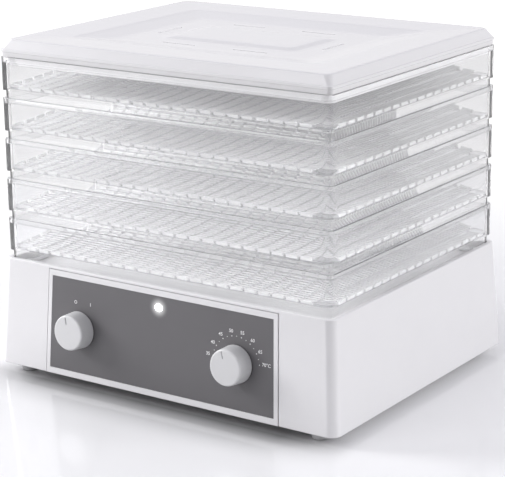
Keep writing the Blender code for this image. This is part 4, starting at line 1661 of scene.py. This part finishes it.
@dataclass(frozen=True)
class Studio:
    """White surroundings, a pale glossy floor that fades out, and soft lights."""

    sky: float = 0.55
    glow: float = 0.40
    glow_azimuth: float = -145.0
    glow_from: float = 0.35
    ceiling: float = 0.52
    room: float = 0.38
    room_azimuth: float = 42.0
    room_from: float = 0.45
    facing_width: float = 0.45
    backdrop: float = 1.2
    floor_rings: tuple[float, ...] = (0.001, 300.0, 600.0, 1200.0, 2600.0)
    floor_sides: int = 96
    floor_level: float = -0.05
    floor_colour: Colour = (0.92, 0.92, 0.93)
    floor_roughness: float = 0.1
    clear_radius: float = 0.36
    fade_width: float = 0.55
    # shade and the shade_ sizes below set the painted contact shadow on the floor along the casing's front
    # edge
    shade: float = 0.75
    shade_reach: float = 0.06
    shade_behind: float = 0.03
    shade_past: float = 0.02
    shade_side: float = 0.07
    boxes: tuple[Softbox, ...] = (Softbox("key", -68, 20, 1.5, 0.55, 16.5),
                                  Softbox("front", -34, 10, 2.2, 1.0, 5.4),
                                  Softbox("brow", -20, 40, 2.2, 1.2, 6.2),
                                  Softbox("right", 102, 22, 1.8, 1.1, 16.5))

    def facing(self, maker: NodeMaker, way: bpy.types.NodeSocket, azimuth: float, start: float) -> Value:
        """How much a direction of the world faces an azimuth.

        Args:
            maker: The world's maker.
            way: The direction.
            azimuth: The azimuth in degrees.
            start: The cosine at which it begins.

        Returns:
            0 to 1.
        """
        turn = radians(azimuth)
        dot = maker.node("ShaderNodeVectorMath", {"operation": "DOT_PRODUCT"},
                         {0: way, 1: (sin(turn), -cos(turn), 0.0)})
        return ((maker.value(dot, "Value") - start) / self.facing_width).clamped()

    def build_world(self) -> None:
        """White light, brighter behind the object, dimmer behind the camera, and a white backdrop."""
        world = bpy.data.worlds.new("studio")
        world.use_nodes = True
        world.node_tree.nodes.clear()
        maker = NodeMaker(world.node_tree)
        way = maker.node("ShaderNodeTexCoord").outputs["Generated"]
        height = maker.value(maker.node("ShaderNodeSeparateXYZ", None, {0: way}), "Z")
        bright = (self.facing(maker, way, self.glow_azimuth, self.glow_from)
                  * ((self.ceiling - height) / 0.22).clamped())
        dim = self.facing(maker, way, self.room_azimuth, self.room_from)
        light = maker.node("ShaderNodeBackground", None,
                           {"Color": maker.ramp(height, (0.1, (1.0, 0.99, 1.0)), (0.6, (0.93, 0.92, 1.0))),
                            "Strength": self.sky + self.glow * bright - self.room * dim})
        path = maker.node("ShaderNodeLightPath")
        seen = maker.node("ShaderNodeBackground", None, {"Color": (1, 1, 1, 1), "Strength": self.backdrop})
        both = maker.node("ShaderNodeMixShader", None,
                          {0: path.outputs["Is Camera Ray"], 1: light.outputs[0], 2: seen.outputs[0]})
        maker.node("ShaderNodeOutputWorld", None, {"Surface": both.outputs[0]})
        bpy.context.scene.world = world

    def painted_contact_shadow(self, maker: NodeMaker) -> Value:
        """How strongly the painted contact shadow darkens a place on the floor by the casing's front edge.

        Args:
            maker: The floor's maker.

        Returns:
            1 at the edge and 0 out of reach.
        """
        low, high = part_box("base_housing")
        apart = maker.node("ShaderNodeSeparateXYZ", None, {0: object_place(maker)})
        gaps = []
        for i, axis in enumerate("XY"):
            middle, half = (low[i] + high[i]) / 2, (high[i] - low[i]) / 2
            gap = (maker.value(apart, axis) - middle).size() - half
            gaps.append(gap * gap.above(0.0))
        away = (gaps[0] * gaps[0] + gaps[1] * gaps[1]).root()
        ahead = (1.0 + (low[1] - maker.value(apart, "Y")) / self.shade_behind).clamped()
        inboard = ((high[0] + self.shade_past - maker.value(apart, "X").size()) / self.shade_side).clamped()
        return (1.0 - away / self.shade_reach).clamped() ** 2.0 * ahead * inboard

    def build_floor(self) -> None:
        """A pale glossy disc that thins out away from the object, with a painted shadow darkening it under
        the front edge.
        """
        shape = Shape()
        count = self.floor_sides
        angles = [2 * pi * i / count for i in range(count)]
        rows = [[shape.bm.verts.new((radius * cos(angle), radius * sin(angle), self.floor_level))
                 for angle in angles] for radius in self.floor_rings]
        for low, high in zip(rows, rows[1:]):
            for i in range(count):
                j = (i + 1) % count
                shape.bm.faces.new((low[i], high[i], high[j], low[j]))
        floor = add_object("floor", shape.mesh("floor"))
        made, maker, shader = new_material("floor_gloss")
        # painted shadow: the floor colour darkens near the casing's front edge
        tint = maker.ramp(self.painted_contact_shadow(maker), (0.0, self.floor_colour),
                          (1.0, toned(self.floor_colour, 1 - self.shade)))
        maker.feed(shader, {"Base Color": tint, "Roughness": self.floor_roughness})
        fade = ((distance_from(maker, Vector((0, 0, 0))) - self.clear_radius) / self.fade_width).clamped()
        through = maker.node("ShaderNodeBsdfTransparent")
        both = maker.node("ShaderNodeMixShader", None,
                          {0: fade, 1: shader.outputs[0], 2: through.outputs[0]})
        maker.feed(made.node_tree.nodes["Material Output"], {"Surface": both.outputs[0]})
        floor.data.materials.append(made)

    def build(self) -> None:
        """Make the surroundings."""
        bpy.context.scene.view_settings.view_transform = "Standard"
        self.build_world()
        self.build_floor()
        for light in self.boxes:
            light.build()


# ---------------------------------------------------------------- whole


def dress_frame(finishes: dict[Slot, bpy.types.Material]) -> None:
    """Give every CAD node the finish of its slot.

    Args:
        finishes: The materials by slot.
    """
    for entry in frame["record"]["subparts"]:
        mesh = frame["nodes"][entry["node"]].data
        mesh.materials.clear()
        mesh.materials.append(finishes[Slot(entry["material_slot"])])


def main() -> None:
    """Build the looks around the frame."""
    logging.basicConfig(level=logging.INFO, format="%(name)s: %(message)s")
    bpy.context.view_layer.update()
    layout = Layout.read()
    Viewpoint().build(layout)
    Studio().build()
    finishes = make_finishes(Panel(layout, {}).lamp())
    dress_frame(finishes)
    grid_finish = Clear("clear_grid", (0.90, 0.905, 0.915), 0.02, 1.42, 0.92, 0.6, 0.9).build()
    border_finish = Clear("clear_border", (0.99, 0.99, 0.995), 0.03, 1.45, 0.6, 0.9, 0.9).build()
    pieces = (Casing(layout, finishes), Panel(layout, finishes),
              Trays(layout, finishes[Slot.CLEAR], grid_finish, border_finish),
              Lid(layout, finishes[Slot.WHITE]))
    for piece in pieces:
        piece.build()


if __name__ == "__main__":
    main()
